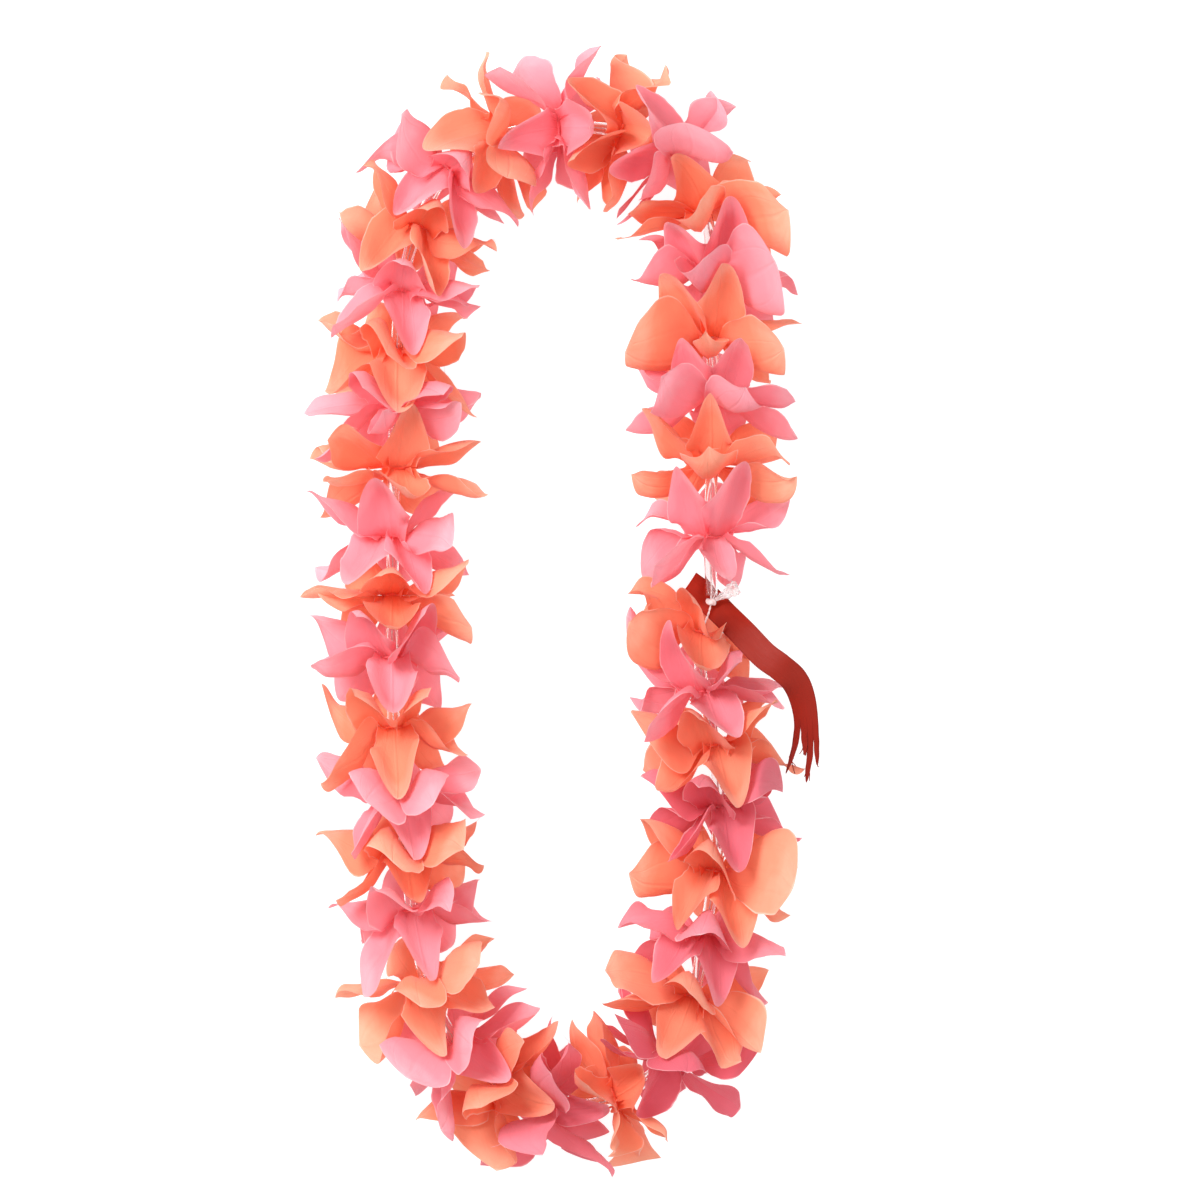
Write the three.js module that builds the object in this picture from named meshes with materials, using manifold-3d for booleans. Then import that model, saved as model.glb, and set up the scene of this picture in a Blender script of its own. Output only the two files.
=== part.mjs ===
// An artificial flower lei, laid flat in a long loop. Thirty-six cloth blooms in two colours alternate
// on a thread, with clear spacer tubes between them. The thread's ends are knotted on the right side,
// over a short red ribbon. Millimetres, +Z up; the loop lies in the XY plane with its length along Y.
import * as THREE from "three";
import { mergeVertices } from "three/addons/utils/BufferGeometryUtils.js";
import Module from "manifold-3d";

const wasm = await Module();
wasm.setup();

// The loop.
const STRING_HEIGHT = 31;
const BLOOM_COUNT = 36;
const PITCH = 32.9;
const FIRST_HUB = 36.2;
// The string's route on the surface, from the knot up the right side and round: [x, y].
const ROUTE = [
  [78.6, 7.3],
  [78.1, 39.6],
  [79.4, 96],
  [79.4, 146.3],
  [79.2, 179.2],
  [75.6, 210.4],
  [60.4, 238.6],
  [32.3, 252.1],
  [0, 254.6],
  [-31.2, 250],
  [-57.3, 233.4],
  [-72.9, 205.2],
  [-82.3, 171.9],
  [-85.6, 122.9],
  [-86.6, 59.1],
  [-87.5, -6.5],
  [-86.5, -56.8],
  [-81.8, -106.3],
  [-77.1, -153.1],
  [-69.8, -189.6],
  [-54.1, -221.9],
  [-31.2, -243.8],
  [-4.2, -254.6],
  [27.1, -251.6],
  [53.2, -233.4],
  [68.2, -202.1],
  [75, -167.7],
  [80.8, -132.3],
  [82.6, -98.4],
  [80.2, -67.2],
  [74.6, -38.5],
  [72.9, -12.5],
];

// The parts of one bloom: two whorls of petals, back to back on a small hub.
const PETALS_PER_WHORL = 5;
const HUB_RADIUS = 5.2;
const HUB_THICKNESS = 3.2;
const HUB_BLEND = 18;
const BORE_RADIUS = 1.4;
const ROOT_RISE = 0.8;
const CLAW = 0.6;
const CLAW_ANGLE = 0.45;
const PETAL_LENGTH = [43.5, 49];
const PETAL_HALF_WIDTH = [13.8, 15.8];
const NARROW_SHARE = 0.12;
// The petals at the top lie low over the string, and straighter than the others.
const TOP_REACH = 1.02;
const TOP_STRAIGHTNESS = 0.7;
// How strongly the petals near the top crowd together there, and over what angle.
const CROWDING = 0.42;
const CROWDED = (50 * Math.PI) / 180;
const BLADE = 0.9;
const BLADE_STATIONS = [0.3, 0.6, 0.84];
const RIDGE_STEPS = 24;
// How much of its sector a petal may fill, and how much of the depth of its bloom's space.
const SECTOR_SHARE = 0.49;
const BORDER_SHARE = 0.94;
const MIDDLE_SHARE = 0.08;

// The floor presses the lowest petals flat, and they spread sideways by so much a millimetre.
const PRESS_HEIGHT = 16;
const PRESS_DEPTH = 17.2;
const PRESS_SPREAD = 0.02;

// Thread, tubes and knot.
const THREAD_RADIUS = 0.6;
const TUBE_RADIUS = 3.2;
const SEAT = 0.3;
const KNOT_RADIUS = 3.2;
const STRAND_SIDES = 6;
// How far the last bloom's space reaches past its hub, towards the knot.
const KNOT_CLEARANCE = 12;

// The ribbon's centreline, from the end behind the knot to its tails, with its roll in degrees.
const RIBBON_ROUTE = [
  { at: [66.9, 16.7, 29], roll: -8 },
  { at: [76.6, 9.4, 25.8], roll: 0 },
  { at: [85.4, 1, 30.5], roll: -14 },
  { at: [95.8, -9.4, 40], roll: -6 },
  { at: [106.2, -20.3, 45], roll: 0 },
  { at: [114.6, -26.6, 47], roll: 8 },
  { at: [121.9, -33.3, 45], roll: 5 },
  { at: [126, -42.7, 41], roll: 20 },
  { at: [128.1, -55.7, 36], roll: 30 },
  { at: [127.9, -68.7, 31.5], roll: 16 },
  { at: [126.2, -83, 28], roll: -4 },
];
const RIBBON_WIDTH = 14.5;
const RIBBON_THICKNESS = 0.6;
const RIBBON_ROWS = 18;
// The torn end. The whole width ends at RIBBON_BODY of the length, and the tails start at TAILS_FROM.
// Each tail has its two edges where it starts and its point across the ribbon, as shares of the half
// width, and its tip as a share of the length.
const RIBBON_BODY = 0.86;
const TAILS_FROM = 0.8;
const RIBBON_TAILS = [
  { edges: [-1, -0.55], point: -0.95, tip: 0.93 },
  { edges: [-0.6, -0.1], point: -0.3, tip: 0.99 },
  { edges: [-0.15, 0.35], point: 0.2, tip: 0.91 },
  { edges: [0.45, 1], point: 1.5, tip: 1 },
];
const TAIL_THICKNESS = 0.66;
const TAIL_ROWS = 4;
const TAIL_NARROWING = 0.96;
// Petals under the ribbon are pressed below it, over this half width and from this point on.
const PRESSED_FROM = 3;
const PRESSED_HALF_WIDTH = 10;
const PRESSED_GAP = 2.4;
const PRESSED_DEPTH = 14;
const PRESSED_SLOPE = 2.2;

// The crumpled clear film at the knot: its centreline and half width.
const FILM_ROUTE = [
  { at: [82.5, 9, 32.2], half: 0.8 },
  { at: [84.6, 10.4, 34], half: 1.7 },
  { at: [87.4, 11.8, 33.2], half: 2.8 },
  { at: [90.2, 14, 35], half: 3.7 },
  { at: [92.8, 15.2, 34.4], half: 3.4 },
];
const FILM_THICKNESS = 0.6;
const FILM_CRUMPLE = 0.5;

// How far the whorls' borders lean along the string at the petal tips, by the side they lean on.
const RIM = 44;
const LEAN_POWER = 1.7;
const KNOT_SIDE = { forward: 32, lean: [-13, -4, -4] };
const BULGE = 10.5;
const BULGE_RADIUS = 22;
// Each bloom: its slip along the string, the azimuth of the first petal of its forward whorl (0 points
// away from the opening, 90 up), and the lean of its border with the next bloom at the outer side, the
// top and the inner side. The next bloom's back petals stand between its forward ones. The last bloom's
// forward petals are pushed closer together by the ribbon. The pick chooses the draw of its petals.
const BLOOMS = [
  { slip: -2.5, forward: 58, lean: [4, 29, 10], pick: 144 },
  { slip: 2.5, forward: 23, lean: [0, 23, 7], pick: 120 },
  { slip: 3, forward: 56, lean: [2, 26, 6], pick: 149 },
  { slip: 2, forward: 70, lean: [-7, 31, 11], pick: 44 },
  { slip: 3, forward: 62, lean: [-9, 23, 8], pick: 99 },
  { slip: 3, forward: 18, lean: [-2, 23, 4], pick: 155 },
  { slip: 3, forward: 50, lean: [0, 13, 6], pick: 190 },
  { slip: 1, forward: 52, lean: [-2, 5, 0], pick: 128 },
  { slip: 1, forward: 26, lean: [2, 16, 0], pick: 76 },
  { slip: 0, forward: 57, lean: [4, 18, 4], pick: 114 },
  { slip: -2, forward: 61, lean: [2, 16, 3], pick: 30 },
  { slip: -1, forward: 52, lean: [-12, 13, 3], pick: 568 },
  { slip: 1, forward: 34, lean: [-4, 18, 2], pick: 58 },
  { slip: 0, forward: 22, lean: [4, 10, 11], pick: 106 },
  { slip: -4, forward: 0, lean: [11, -18, 5], pick: 198 },
  { slip: -5, forward: 35, lean: [1, -10, -5], pick: 120 },
  { slip: -2, forward: 49, lean: [4, 13, 0], pick: 117 },
  { slip: -5, forward: 18, lean: [3, -8, 4], pick: 143 },
  { slip: -5, forward: 18, lean: [-5, 3, 2], pick: 89 },
  { slip: -1.5, forward: 18, lean: [0, 23, 5], pick: 109 },
  { slip: 0, forward: 34, lean: [8, 21, 0], pick: 91 },
  { slip: -2.5, forward: 23, lean: [0, 8, 0], pick: 162 },
  { slip: -5, forward: 30, lean: [5, 29, 0], pick: 82 },
  { slip: 0, forward: 68, lean: [0, 29, 0], pick: 36 },
  { slip: 4, forward: 29, lean: [7, 18, 0], pick: 2 },
  { slip: 2, forward: 15, lean: [0, 13, 0], pick: 137 },
  { slip: -3.5, forward: 5, lean: [5, 8, 0], pick: 262 },
  { slip: -1, forward: 30, lean: [-1, -5, 0], pick: 107 },
  { slip: 1, forward: 67, lean: [8, -26, 0], pick: 39 },
  { slip: 3, forward: 25, lean: [-9, -18, -6], pick: 181 },
  { slip: 3.5, forward: 15, lean: [-6, -26, 0], pick: 121 },
  { slip: 4, forward: 27, lean: [6, -21, 10], pick: 127 },
  { slip: 4.5, forward: 33, lean: [2, -13, 2], pick: 558 },
  { slip: 3, forward: 33, lean: [-4, -5, 4], pick: 669 },
  { slip: -1.5, forward: 50, lean: [-14, 6, 14], pick: 780 },
  { slip: -3, forward: 112, spacing: 56, lean: [-16, -3, 18], pick: 165 },
];

const SEED_START = 977;
const SEED_ROW = 131;
const SEED_PICK = 7919;

const PINK = new THREE.Color().setRGB(0.98, 0.36, 0.45, THREE.SRGBColorSpace);
const ORANGE = new THREE.Color().setRGB(1, 0.5, 0.36, THREE.SRGBColorSpace);
const CLEAR = new THREE.Color().setRGB(0.93, 0.93, 0.92, THREE.SRGBColorSpace);
const RED = new THREE.Color().setRGB(0.7, 0.17, 0.14, THREE.SRGBColorSpace);

const CLOTH = { roughness: 0.75, metalness: 0, side: THREE.DoubleSide };
const PLASTIC = { roughness: 0.15, metalness: 0, transparent: true, opacity: 0.5 };

const rad = THREE.MathUtils.degToRad;
const lerp = THREE.MathUtils.lerp;

// A repeatable draw of numbers between 0 and 1.
function seeded(seed) {
  let state = seed;
  return () => {
    state = (state * 16807) % 2147483647;
    return state / 2147483647;
  };
}

function toSolid(geometry) {
  const bare = new THREE.BufferGeometry();
  bare.setAttribute("position", geometry.getAttribute("position"));
  bare.setIndex(geometry.index);
  const merged = mergeVertices(bare, 1e-4);
  const vertProperties = new Float32Array(merged.attributes.position.array);
  const triVerts = new Uint32Array(merged.index.array);
  return new wasm.Manifold(new wasm.Mesh({ numProp: 3, vertProperties, triVerts }));
}

function toGeometry(solid) {
  const mesh = solid.getMesh();
  const geometry = new THREE.BufferGeometry();
  geometry.setAttribute("position", new THREE.BufferAttribute(mesh.vertProperties, 3));
  geometry.setIndex(new THREE.BufferAttribute(mesh.triVerts, 1));
  geometry.computeVertexNormals();
  return geometry;
}

const floor = new THREE.BoxGeometry(2000, 2000, 100).translate(0, 0, -50);

// --- The string ---------------------------------------------------------------------------------

const routePoints = ROUTE.map(([x, y]) => new THREE.Vector3(x, y, STRING_HEIGHT));
const string = new THREE.CatmullRomCurve3(routePoints, true, "catmullrom", 0.5);
string.arcLengthDivisions = 3000;
const STRING_LENGTH = string.getLength();

const hubs = BLOOMS.map((bloom, i) => FIRST_HUB + i * PITCH + bloom.slip);

// Where the string is at an arc length, with its direction, and the way out of the loop.
function stringFrame(s) {
  const u = THREE.MathUtils.euclideanModulo(s / STRING_LENGTH, 1);
  const along = string.getTangentAt(u);
  const out = new THREE.Vector3(along.y, -along.x, 0);
  return { at: string.getPointAt(u), along, out };
}

// --- The space that each bloom fills ------------------------------------------------------------

// How far the border after a bloom leans along the string at radius r and an azimuth round it. It
// bulges with the bloom's own forward petals, and the next bloom's back petals fill its hollows.
function leanAt({ forward, lean }, r, azimuth) {
  const [outer, top, inner] = lean;
  const under = (outer + inner) / 4;
  const mean = (outer + top + inner + under) / 4;
  const sideways = ((outer - inner) / 2) * Math.cos(azimuth);
  const upright = ((top - under) / 2) * Math.sin(azimuth);
  const oval = ((outer + inner - top - under) / 4) * Math.cos(2 * azimuth);
  const bulge = BULGE * THREE.MathUtils.smoothstep(r, HUB_RADIUS, BULGE_RADIUS);
  const wave = bulge * Math.cos(PETALS_PER_WHORL * (azimuth - rad(forward)));
  return (mean + sideways + upright + oval) * Math.min(r / RIM, 1.1) ** LEAN_POWER + wave;
}

// The arc lengths of the middle of a bloom's space and of half its depth, at a place round the string.
// The space lies between two borders that both neighbours keep to, so that blooms nest without
// crossing. Near the hub its middle is the hub itself.
function spaceAt(i, r, azimuth) {
  const before = i > 0 ? (hubs[i - 1] + hubs[i]) / 2 : hubs[0] - PITCH / 2;
  const after = i + 1 < BLOOM_COUNT ? (hubs[i] + hubs[i + 1]) / 2 : hubs[i] + KNOT_CLEARANCE;
  const low = before + leanAt(i > 0 ? BLOOMS[i - 1] : KNOT_SIDE, r, azimuth);
  const high = after + leanAt(BLOOMS[i], r, azimuth);
  const offset = (before + after) / 2 - hubs[i];
  const middle = (low + high) / 2 - offset * Math.max(1 - r / HUB_BLEND, 0);
  return { middle, half: (high - low) / 2 };
}

// The floor: heights are kept above PRESS_HEIGHT and pressed together below it.
function pressed(z) {
  if (z > PRESS_HEIGHT) return z;
  return PRESS_HEIGHT - PRESS_DEPTH * Math.tanh((PRESS_HEIGHT - z) / PRESS_DEPTH);
}

// A point at arc length s, radius r and azimuth round the string.
function pointAt(s, r, azimuth) {
  const frame = stringFrame(s);
  const free = STRING_HEIGHT + r * Math.sin(azimuth);
  const height = pressed(free);
  const spread = 1 + PRESS_SPREAD * (height - free);
  const point = frame.at.clone().addScaledVector(frame.out, r * Math.cos(azimuth) * spread);
  point.z = height;
  return pressedByRibbon(point);
}

// The same point, lowered below the ribbon where the ribbon passes over it.
function pressedByRibbon(point) {
  let ceiling = Infinity;
  const route = RIBBON_ROUTE.slice(PRESSED_FROM).map(({ at }) => new THREE.Vector3(...at));
  for (let k = 0; k + 1 < route.length; k += 1) {
    const way = route[k + 1].clone().sub(route[k]);
    const offset = point.clone().sub(route[k]);
    const share = (way.x * offset.x + way.y * offset.y) / (way.x ** 2 + way.y ** 2);
    const near = route[k].clone().addScaledVector(way, THREE.MathUtils.clamp(share, 0, 1));
    const away = Math.hypot(point.x - near.x, point.y - near.y);
    const beside = PRESSED_SLOPE * Math.max(away - PRESSED_HALF_WIDTH, 0);
    ceiling = Math.min(ceiling, near.z - PRESSED_GAP + beside);
  }
  const knee = ceiling - PRESSED_DEPTH;
  if (point.z < knee) return point;
  point.z = knee + PRESSED_DEPTH * Math.tanh((point.z - knee) / PRESSED_DEPTH);
  return point;
}

// --- Petals -------------------------------------------------------------------------------------

// A petal's outline: a narrow claw, broad shoulders past the middle, and a pointed tip.
function outlineAt(t) {
  const claw = CLAW + (1 - CLAW) * THREE.MathUtils.smoothstep(t, 0, 0.48);
  const past = Math.max((t - 0.55) / 0.45, 0);
  return claw * (1 - past ** 2.6) ** 0.9;
}

// Petals near the top crowd together over the string.
function drawnUp(azimuth) {
  const away = THREE.MathUtils.euclideanModulo(azimuth + Math.PI / 2, 2 * Math.PI) - Math.PI;
  return azimuth - away * CROWDING * Math.exp(-((away / CROWDED) ** 2));
}

// The values that shape one petal, drawn in a fixed order.
function drawPetal(draw, azimuth) {
  const petal = {
    azimuth: drawnUp(azimuth + rad(lerp(-4, 4, draw()))),
    length: lerp(...PETAL_LENGTH, draw()),
    halfWidth: lerp(...PETAL_HALF_WIDTH, draw()),
    reach: lerp(0.5, 0.88, draw()),
    cup: lerp(2, 6, draw()),
    curl: lerp(-0.2, 0.15, draw()),
    twist: lerp(0.1, 0.45, draw()) * (draw() < 0.5 ? -1 : 1),
    ripple: lerp(0.02, 0.08, draw()),
    phase: lerp(0, 2 * Math.PI, draw()),
  };
  if (draw() < NARROW_SHARE) {
    petal.halfWidth *= 0.6;
    petal.cup += 1.5;
  }
  const over = Math.max(Math.sin(petal.azimuth), 0) ** 6;
  petal.reach = lerp(petal.reach, TOP_REACH, over);
  petal.curl *= 1 - TOP_STRAIGHTNESS * over;
  return petal;
}

// The five petals of one whorl, each with the half angles that it may fill on either side.
function drawWhorl(draw, first, spacing = (2 * Math.PI) / PETALS_PER_WHORL) {
  const whorl = [];
  for (let k = 0; k < PETALS_PER_WHORL; k += 1) {
    whorl.push(drawPetal(draw, first + spacing * k));
  }
  whorl.forEach((petal, k) => {
    const next = whorl[(k + 1) % PETALS_PER_WHORL];
    const gap = THREE.MathUtils.euclideanModulo(next.azimuth - petal.azimuth, 2 * Math.PI);
    petal.roomAfter = SECTOR_SHARE * gap;
    next.roomBefore = SECTOR_SHARE * gap;
  });
  return whorl;
}

// How far a petal stands from the middle of its bloom's space towards the border, as a share.
function shareAt(petal, t, v) {
  const rise = 1 - (1 - t) ** 2.1;
  const curl = petal.curl * Math.max((t - 0.7) / 0.3, 0) ** 2;
  const turned = petal.twist * v * Math.sin(0.85 * Math.PI * t);
  const edge = petal.ripple * v * t * Math.sin(7 * t + petal.phase);
  return petal.reach * rise + curl + turned + edge;
}

// The arc length of a petal's surface at a radius and azimuth, for its share of the space.
function heightAt(bloom, side, r, azimuth, t, share) {
  const { middle, half } = spaceAt(bloom, r, azimuth);
  const kept = (share + Math.hypot(share, MIDDLE_SHARE)) / 2;
  const filled = half * Math.min(kept / (1 + (kept / BORDER_SHARE) ** 6) ** (1 / 6), BORDER_SHARE);
  return middle + side * (ROOT_RISE * (1 - t) + filled);
}

// The petal's ridge: the radius at each small step along it, so that its length stays true.
function ridgeOf(bloom, side, petal) {
  const step = petal.length / RIDGE_STEPS;
  const radii = [HUB_RADIUS];
  let r = HUB_RADIUS;
  let height = heightAt(bloom, side, r, petal.azimuth, 0, 0);
  for (let i = 1; i <= RIDGE_STEPS; i += 1) {
    const t = i / RIDGE_STEPS;
    const share = shareAt(petal, t, 0);
    const next = heightAt(bloom, side, r + 0.8 * step, petal.azimuth, t, share);
    r += Math.sqrt(Math.max(step ** 2 - (next - height) ** 2, (0.25 * step) ** 2));
    height = next;
    radii.push(r);
  }
  const lean = Math.atan2(side * (height - hubs[bloom]), r - HUB_RADIUS);
  return { radii, lean };
}

// The azimuth of a point that lies y to one side of a petal's ridge, kept inside its own sector.
function azimuthAt(petal, x, y) {
  const turn = Math.atan2(y, x);
  const room = turn > 0 ? petal.roomAfter : petal.roomBefore;
  return petal.azimuth + turn / (1 + (Math.abs(turn) / room) ** 4) ** 0.25;
}

// The petal's middle surface: t runs from root to tip, v from edge (-1) to edge (1).
function petalPoint(bloom, side, petal, ridge, t, v) {
  const place = t * RIDGE_STEPS;
  const low = Math.min(Math.floor(place), RIDGE_STEPS - 1);
  const ahead = lerp(ridge.radii[low], ridge.radii[low + 1], place - low);
  const hollow = petal.cup * v * v * Math.sin(Math.PI * Math.min(t, 1)) ** 0.7;
  const x = ahead - hollow * Math.sin(ridge.lean);
  const y = v * petal.halfWidth * outlineAt(t);
  const r = Math.hypot(x, y);
  const azimuth = azimuthAt(petal, x, y);
  const { half } = spaceAt(bloom, r, azimuth);
  const share = shareAt(petal, t, v) + (hollow * Math.cos(ridge.lean)) / half;
  return pointAt(heightAt(bloom, side, r, azimuth, t, share), r, azimuth);
}

// --- Blooms -------------------------------------------------------------------------------------

// Each row across a blade has four points: one edge, the face towards the border, the other edge and
// the face towards the middle. Both faces are split into triangles along the same diagonals.
const ROW = 4;

// A petal as a closed blade on the hub's wall: its two faces meet at the rim and stand apart along
// the ridge. Returns the index of its root row.
function addPetal(points, faces, bloom, side, petal) {
  const ridge = ridgeOf(bloom, side, petal);
  const root = points.length;
  const rootAt = (height, turn) =>
    points.push(pointAt(hubs[bloom] + side * height, HUB_RADIUS, petal.azimuth + turn));
  rootAt(HUB_THICKNESS / 4, -CLAW_ANGLE);
  rootAt(HUB_THICKNESS / 2, 0);
  rootAt(HUB_THICKNESS / 4, CLAW_ANGLE);
  rootAt(0.25, 0);
  for (const t of BLADE_STATIONS) {
    const at = (ahead, v) => petalPoint(bloom, side, petal, ridge, t + ahead, v);
    const along = at(0.04, 0).sub(at(-0.04, 0));
    const across = at(0, 0.2).sub(at(0, -0.2));
    const lift = along.cross(across).setLength((side * BLADE) / 2);
    points.push(at(0, -1), at(0, 0).sub(lift), at(0, 1), at(0, 0).add(lift));
  }
  points.push(petalPoint(bloom, side, petal, ridge, 1, 0));
  const tip = points.length - 1;
  for (let row = root; row < tip; row += ROW) {
    for (let k = 0; k < ROW; k += 1) {
      const [a, b] = [row + k, row + ((k + 1) % ROW)];
      if (row + ROW === tip) addTriangle(faces, side, a, b, tip);
      else if (k < ROW / 2) addQuad(faces, side, a, b, b + ROW, a + ROW);
      else addQuad(faces, side, b, b + ROW, a + ROW, a);
    }
  }
  return root;
}

function addTriangle(faces, side, a, b, c) {
  faces.push(...(side > 0 ? [a, b, c] : [a, c, b]));
}

function addQuad(faces, side, a, b, c, d) {
  addTriangle(faces, side, a, b, c);
  addTriangle(faces, side, a, c, d);
}

// One whorl with its half of the hub. Returns the hub's edge at its middle, and the bore's mouth.
function addWhorl(points, faces, bloom, side, whorl) {
  const roots = whorl.map((petal) => addPetal(points, faces, bloom, side, petal));
  const mouth = points.length;
  for (const petal of whorl) {
    points.push(pointAt(hubs[bloom] + (side * HUB_THICKNESS) / 2, BORE_RADIUS, petal.azimuth));
  }
  roots.forEach((root, k) => {
    const following = (k + 1) % PETALS_PER_WHORL;
    const next = roots[following];
    addQuad(faces, side, root + 2, root + 1, next + 1, next);
    addQuad(faces, side, root + 2, next, next + 3, root + 3);
    addQuad(faces, side, next + 1, root + 1, mouth + k, mouth + following);
  });
  return { edge: roots.map((root) => root + 3), mouth: roots.map((_, k) => mouth + k) };
}

// The band of triangles between two rings of as many points, both in the order of their azimuths.
function addBand(faces, side, ringA, ringB, start) {
  ringA.forEach((a, k) => {
    const count = ringA.length;
    const nextA = ringA[(k + 1) % count];
    const b = ringB[(k + start) % count];
    const nextB = ringB[(k + 1 + start) % count];
    addTriangle(faces, side, a, nextA, b);
    addTriangle(faces, side, nextA, nextB, b);
  });
}

function bloomSolid(i) {
  const draw = seeded(SEED_START + SEED_ROW * i + SEED_PICK * BLOOMS[i].pick);
  const { forward: first, spacing = 360 / PETALS_PER_WHORL } = BLOOMS[i];
  const forward = drawWhorl(draw, rad(first), rad(spacing));
  const behindIt = i > 0 ? BLOOMS[i - 1] : KNOT_SIDE;
  const back = drawWhorl(draw, rad(behindIt.forward) + Math.PI / PETALS_PER_WHORL);
  const points = [];
  const faces = [];
  const ahead = addWhorl(points, faces, i, 1, forward);
  const behind = addWhorl(points, faces, i, -1, back);
  const turn = THREE.MathUtils.euclideanModulo(forward[0].azimuth - back[0].azimuth, 2 * Math.PI);
  const start = Math.round((turn / (2 * Math.PI)) * PETALS_PER_WHORL) % PETALS_PER_WHORL;
  addBand(faces, 1, ahead.edge, behind.edge, start);
  addBand(faces, -1, ahead.mouth, behind.mouth, start);
  const geometry = new THREE.BufferGeometry().setFromPoints(points).setIndex(faces);
  return toSolid(geometry).subtract(toSolid(floor));
}

function makeBlooms() {
  return BLOOMS.map((row, i) => {
    const pink = i % 2 === 0;
    const name = `bloom_${String(i + 1).padStart(2, "0")}_${pink ? "pink" : "orange"}`;
    const material = new THREE.MeshStandardMaterial({ color: pink ? PINK : ORANGE, ...CLOTH });
    const mesh = new THREE.Mesh(toGeometry(bloomSolid(i)), material);
    mesh.name = name;
    return mesh;
  });
}

// --- Thread, tubes and knot ---------------------------------------------------------------------

// The strand is one closed run of rings along the string: [arc length, radius].
function strandRings() {
  const rest = HUB_THICKNESS / 2 + SEAT;
  const rings = [];
  hubs.forEach((hub, i) => {
    rings.push([hub - rest, TUBE_RADIUS], [hub - rest, THREAD_RADIUS], [hub + rest, THREAD_RADIUS]);
    if (i < BLOOM_COUNT - 1) rings.push([hub + rest, TUBE_RADIUS]);
  });
  const end = STRING_LENGTH;
  rings.push([end - KNOT_RADIUS, THREAD_RADIUS], [end - KNOT_RADIUS / 2, KNOT_RADIUS]);
  rings.push([end + KNOT_RADIUS / 2, KNOT_RADIUS], [end + KNOT_RADIUS, TUBE_RADIUS]);
  return rings;
}

function makeStrand() {
  const points = [];
  const faces = [];
  const rings = strandRings();
  rings.forEach(([s, radius], k) => {
    const first = k * STRAND_SIDES;
    const next = ((k + 1) % rings.length) * STRAND_SIDES;
    for (let j = 0; j < STRAND_SIDES; j += 1) {
      const { at, out } = stringFrame(s);
      const turn = (2 * Math.PI * j) / STRAND_SIDES;
      const point = at.addScaledVector(out, radius * Math.cos(turn));
      point.z += radius * Math.sin(turn);
      points.push(point);
      const beside = (j + 1) % STRAND_SIDES;
      addQuad(faces, 1, first + j, next + j, next + beside, first + beside);
    }
  });
  const geometry = new THREE.BufferGeometry().setFromPoints(points).setIndex(faces);
  const material = new THREE.MeshStandardMaterial({ color: CLEAR, ...PLASTIC });
  const strand = new THREE.Mesh(geometry, material);
  strand.name = "strand";
  return strand;
}

// --- Ribbon and film ----------------------------------------------------------------------------

// A curve through a route's points, with a quantity that is given at each of them.
function routeCurve(route) {
  return new THREE.CatmullRomCurve3(route.map(({ at }) => new THREE.Vector3(...at)));
}

function valueAlong(route, key, u) {
  const place = u * (route.length - 1);
  const low = Math.min(Math.floor(place), route.length - 2);
  return lerp(route[low][key], route[low + 1][key], place - low);
}

// A closed thin strip through rows of [left, right] points.
function stripSolid(rows, thickness) {
  const points = [];
  rows.forEach(([left, right], k) => {
    const ahead = rows[Math.min(k + 1, rows.length - 1)];
    const behind = rows[Math.max(k - 1, 0)];
    const along = ahead[0].clone().add(ahead[1]).sub(behind[0]).sub(behind[1]);
    const across = right.clone().sub(left);
    const lift = along.cross(across).setLength(thickness / 2);
    points.push(left.clone().add(lift), right.clone().add(lift));
    points.push(right.clone().sub(lift), left.clone().sub(lift));
  });
  const faces = [];
  addQuad(faces, 1, 0, 1, 2, 3);
  for (let row = 0; row + 1 < rows.length; row += 1) {
    for (let k = 0; k < ROW; k += 1) {
      const [a, b] = [row * ROW + k, row * ROW + ((k + 1) % ROW)];
      if (k < ROW / 2) addQuad(faces, 1, a, a + ROW, b + ROW, b);
      else addQuad(faces, 1, b, a, a + ROW, b + ROW);
    }
  }
  const last = (rows.length - 1) * ROW;
  addQuad(faces, 1, last + 3, last + 2, last + 1, last);
  return toSolid(new THREE.BufferGeometry().setFromPoints(points).setIndex(faces));
}

// A point of the ribbon's middle surface: u along it, v across it as a share of its half width.
function ribbonPoint(curve, u, v) {
  const along = curve.getTangentAt(u);
  const level = new THREE.Vector3(along.y, -along.x, 0).normalize();
  const roll = rad(valueAlong(RIBBON_ROUTE, "roll", curve.getUtoTmapping(u)));
  const across = level.applyAxisAngle(along, roll).multiplyScalar((v * RIBBON_WIDTH) / 2);
  return curve.getPointAt(u).add(across);
}

function makeRibbon() {
  const curve = routeCurve(RIBBON_ROUTE);
  const rowsFrom = (from, to, count, edgesAt) =>
    Array.from({ length: count + 1 }, (_, k) => {
      const share = k / count;
      const u = lerp(from, to, share);
      return edgesAt(share).map((v) => ribbonPoint(curve, u, v));
    });
  const body = rowsFrom(0, RIBBON_BODY, RIBBON_ROWS, () => [-1, 1]);
  const pieces = [stripSolid(body, RIBBON_THICKNESS)];
  for (const { edges, point, tip } of RIBBON_TAILS) {
    const narrowed = (share) => edges.map((edge) => lerp(edge, point, TAIL_NARROWING * share ** 2));
    pieces.push(stripSolid(rowsFrom(TAILS_FROM, tip, TAIL_ROWS, narrowed), TAIL_THICKNESS));
  }
  const material = new THREE.MeshStandardMaterial({ color: RED, ...CLOTH });
  const ribbon = new THREE.Mesh(toGeometry(wasm.Manifold.union(pieces)), material);
  ribbon.name = "ribbon";
  return ribbon;
}

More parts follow.
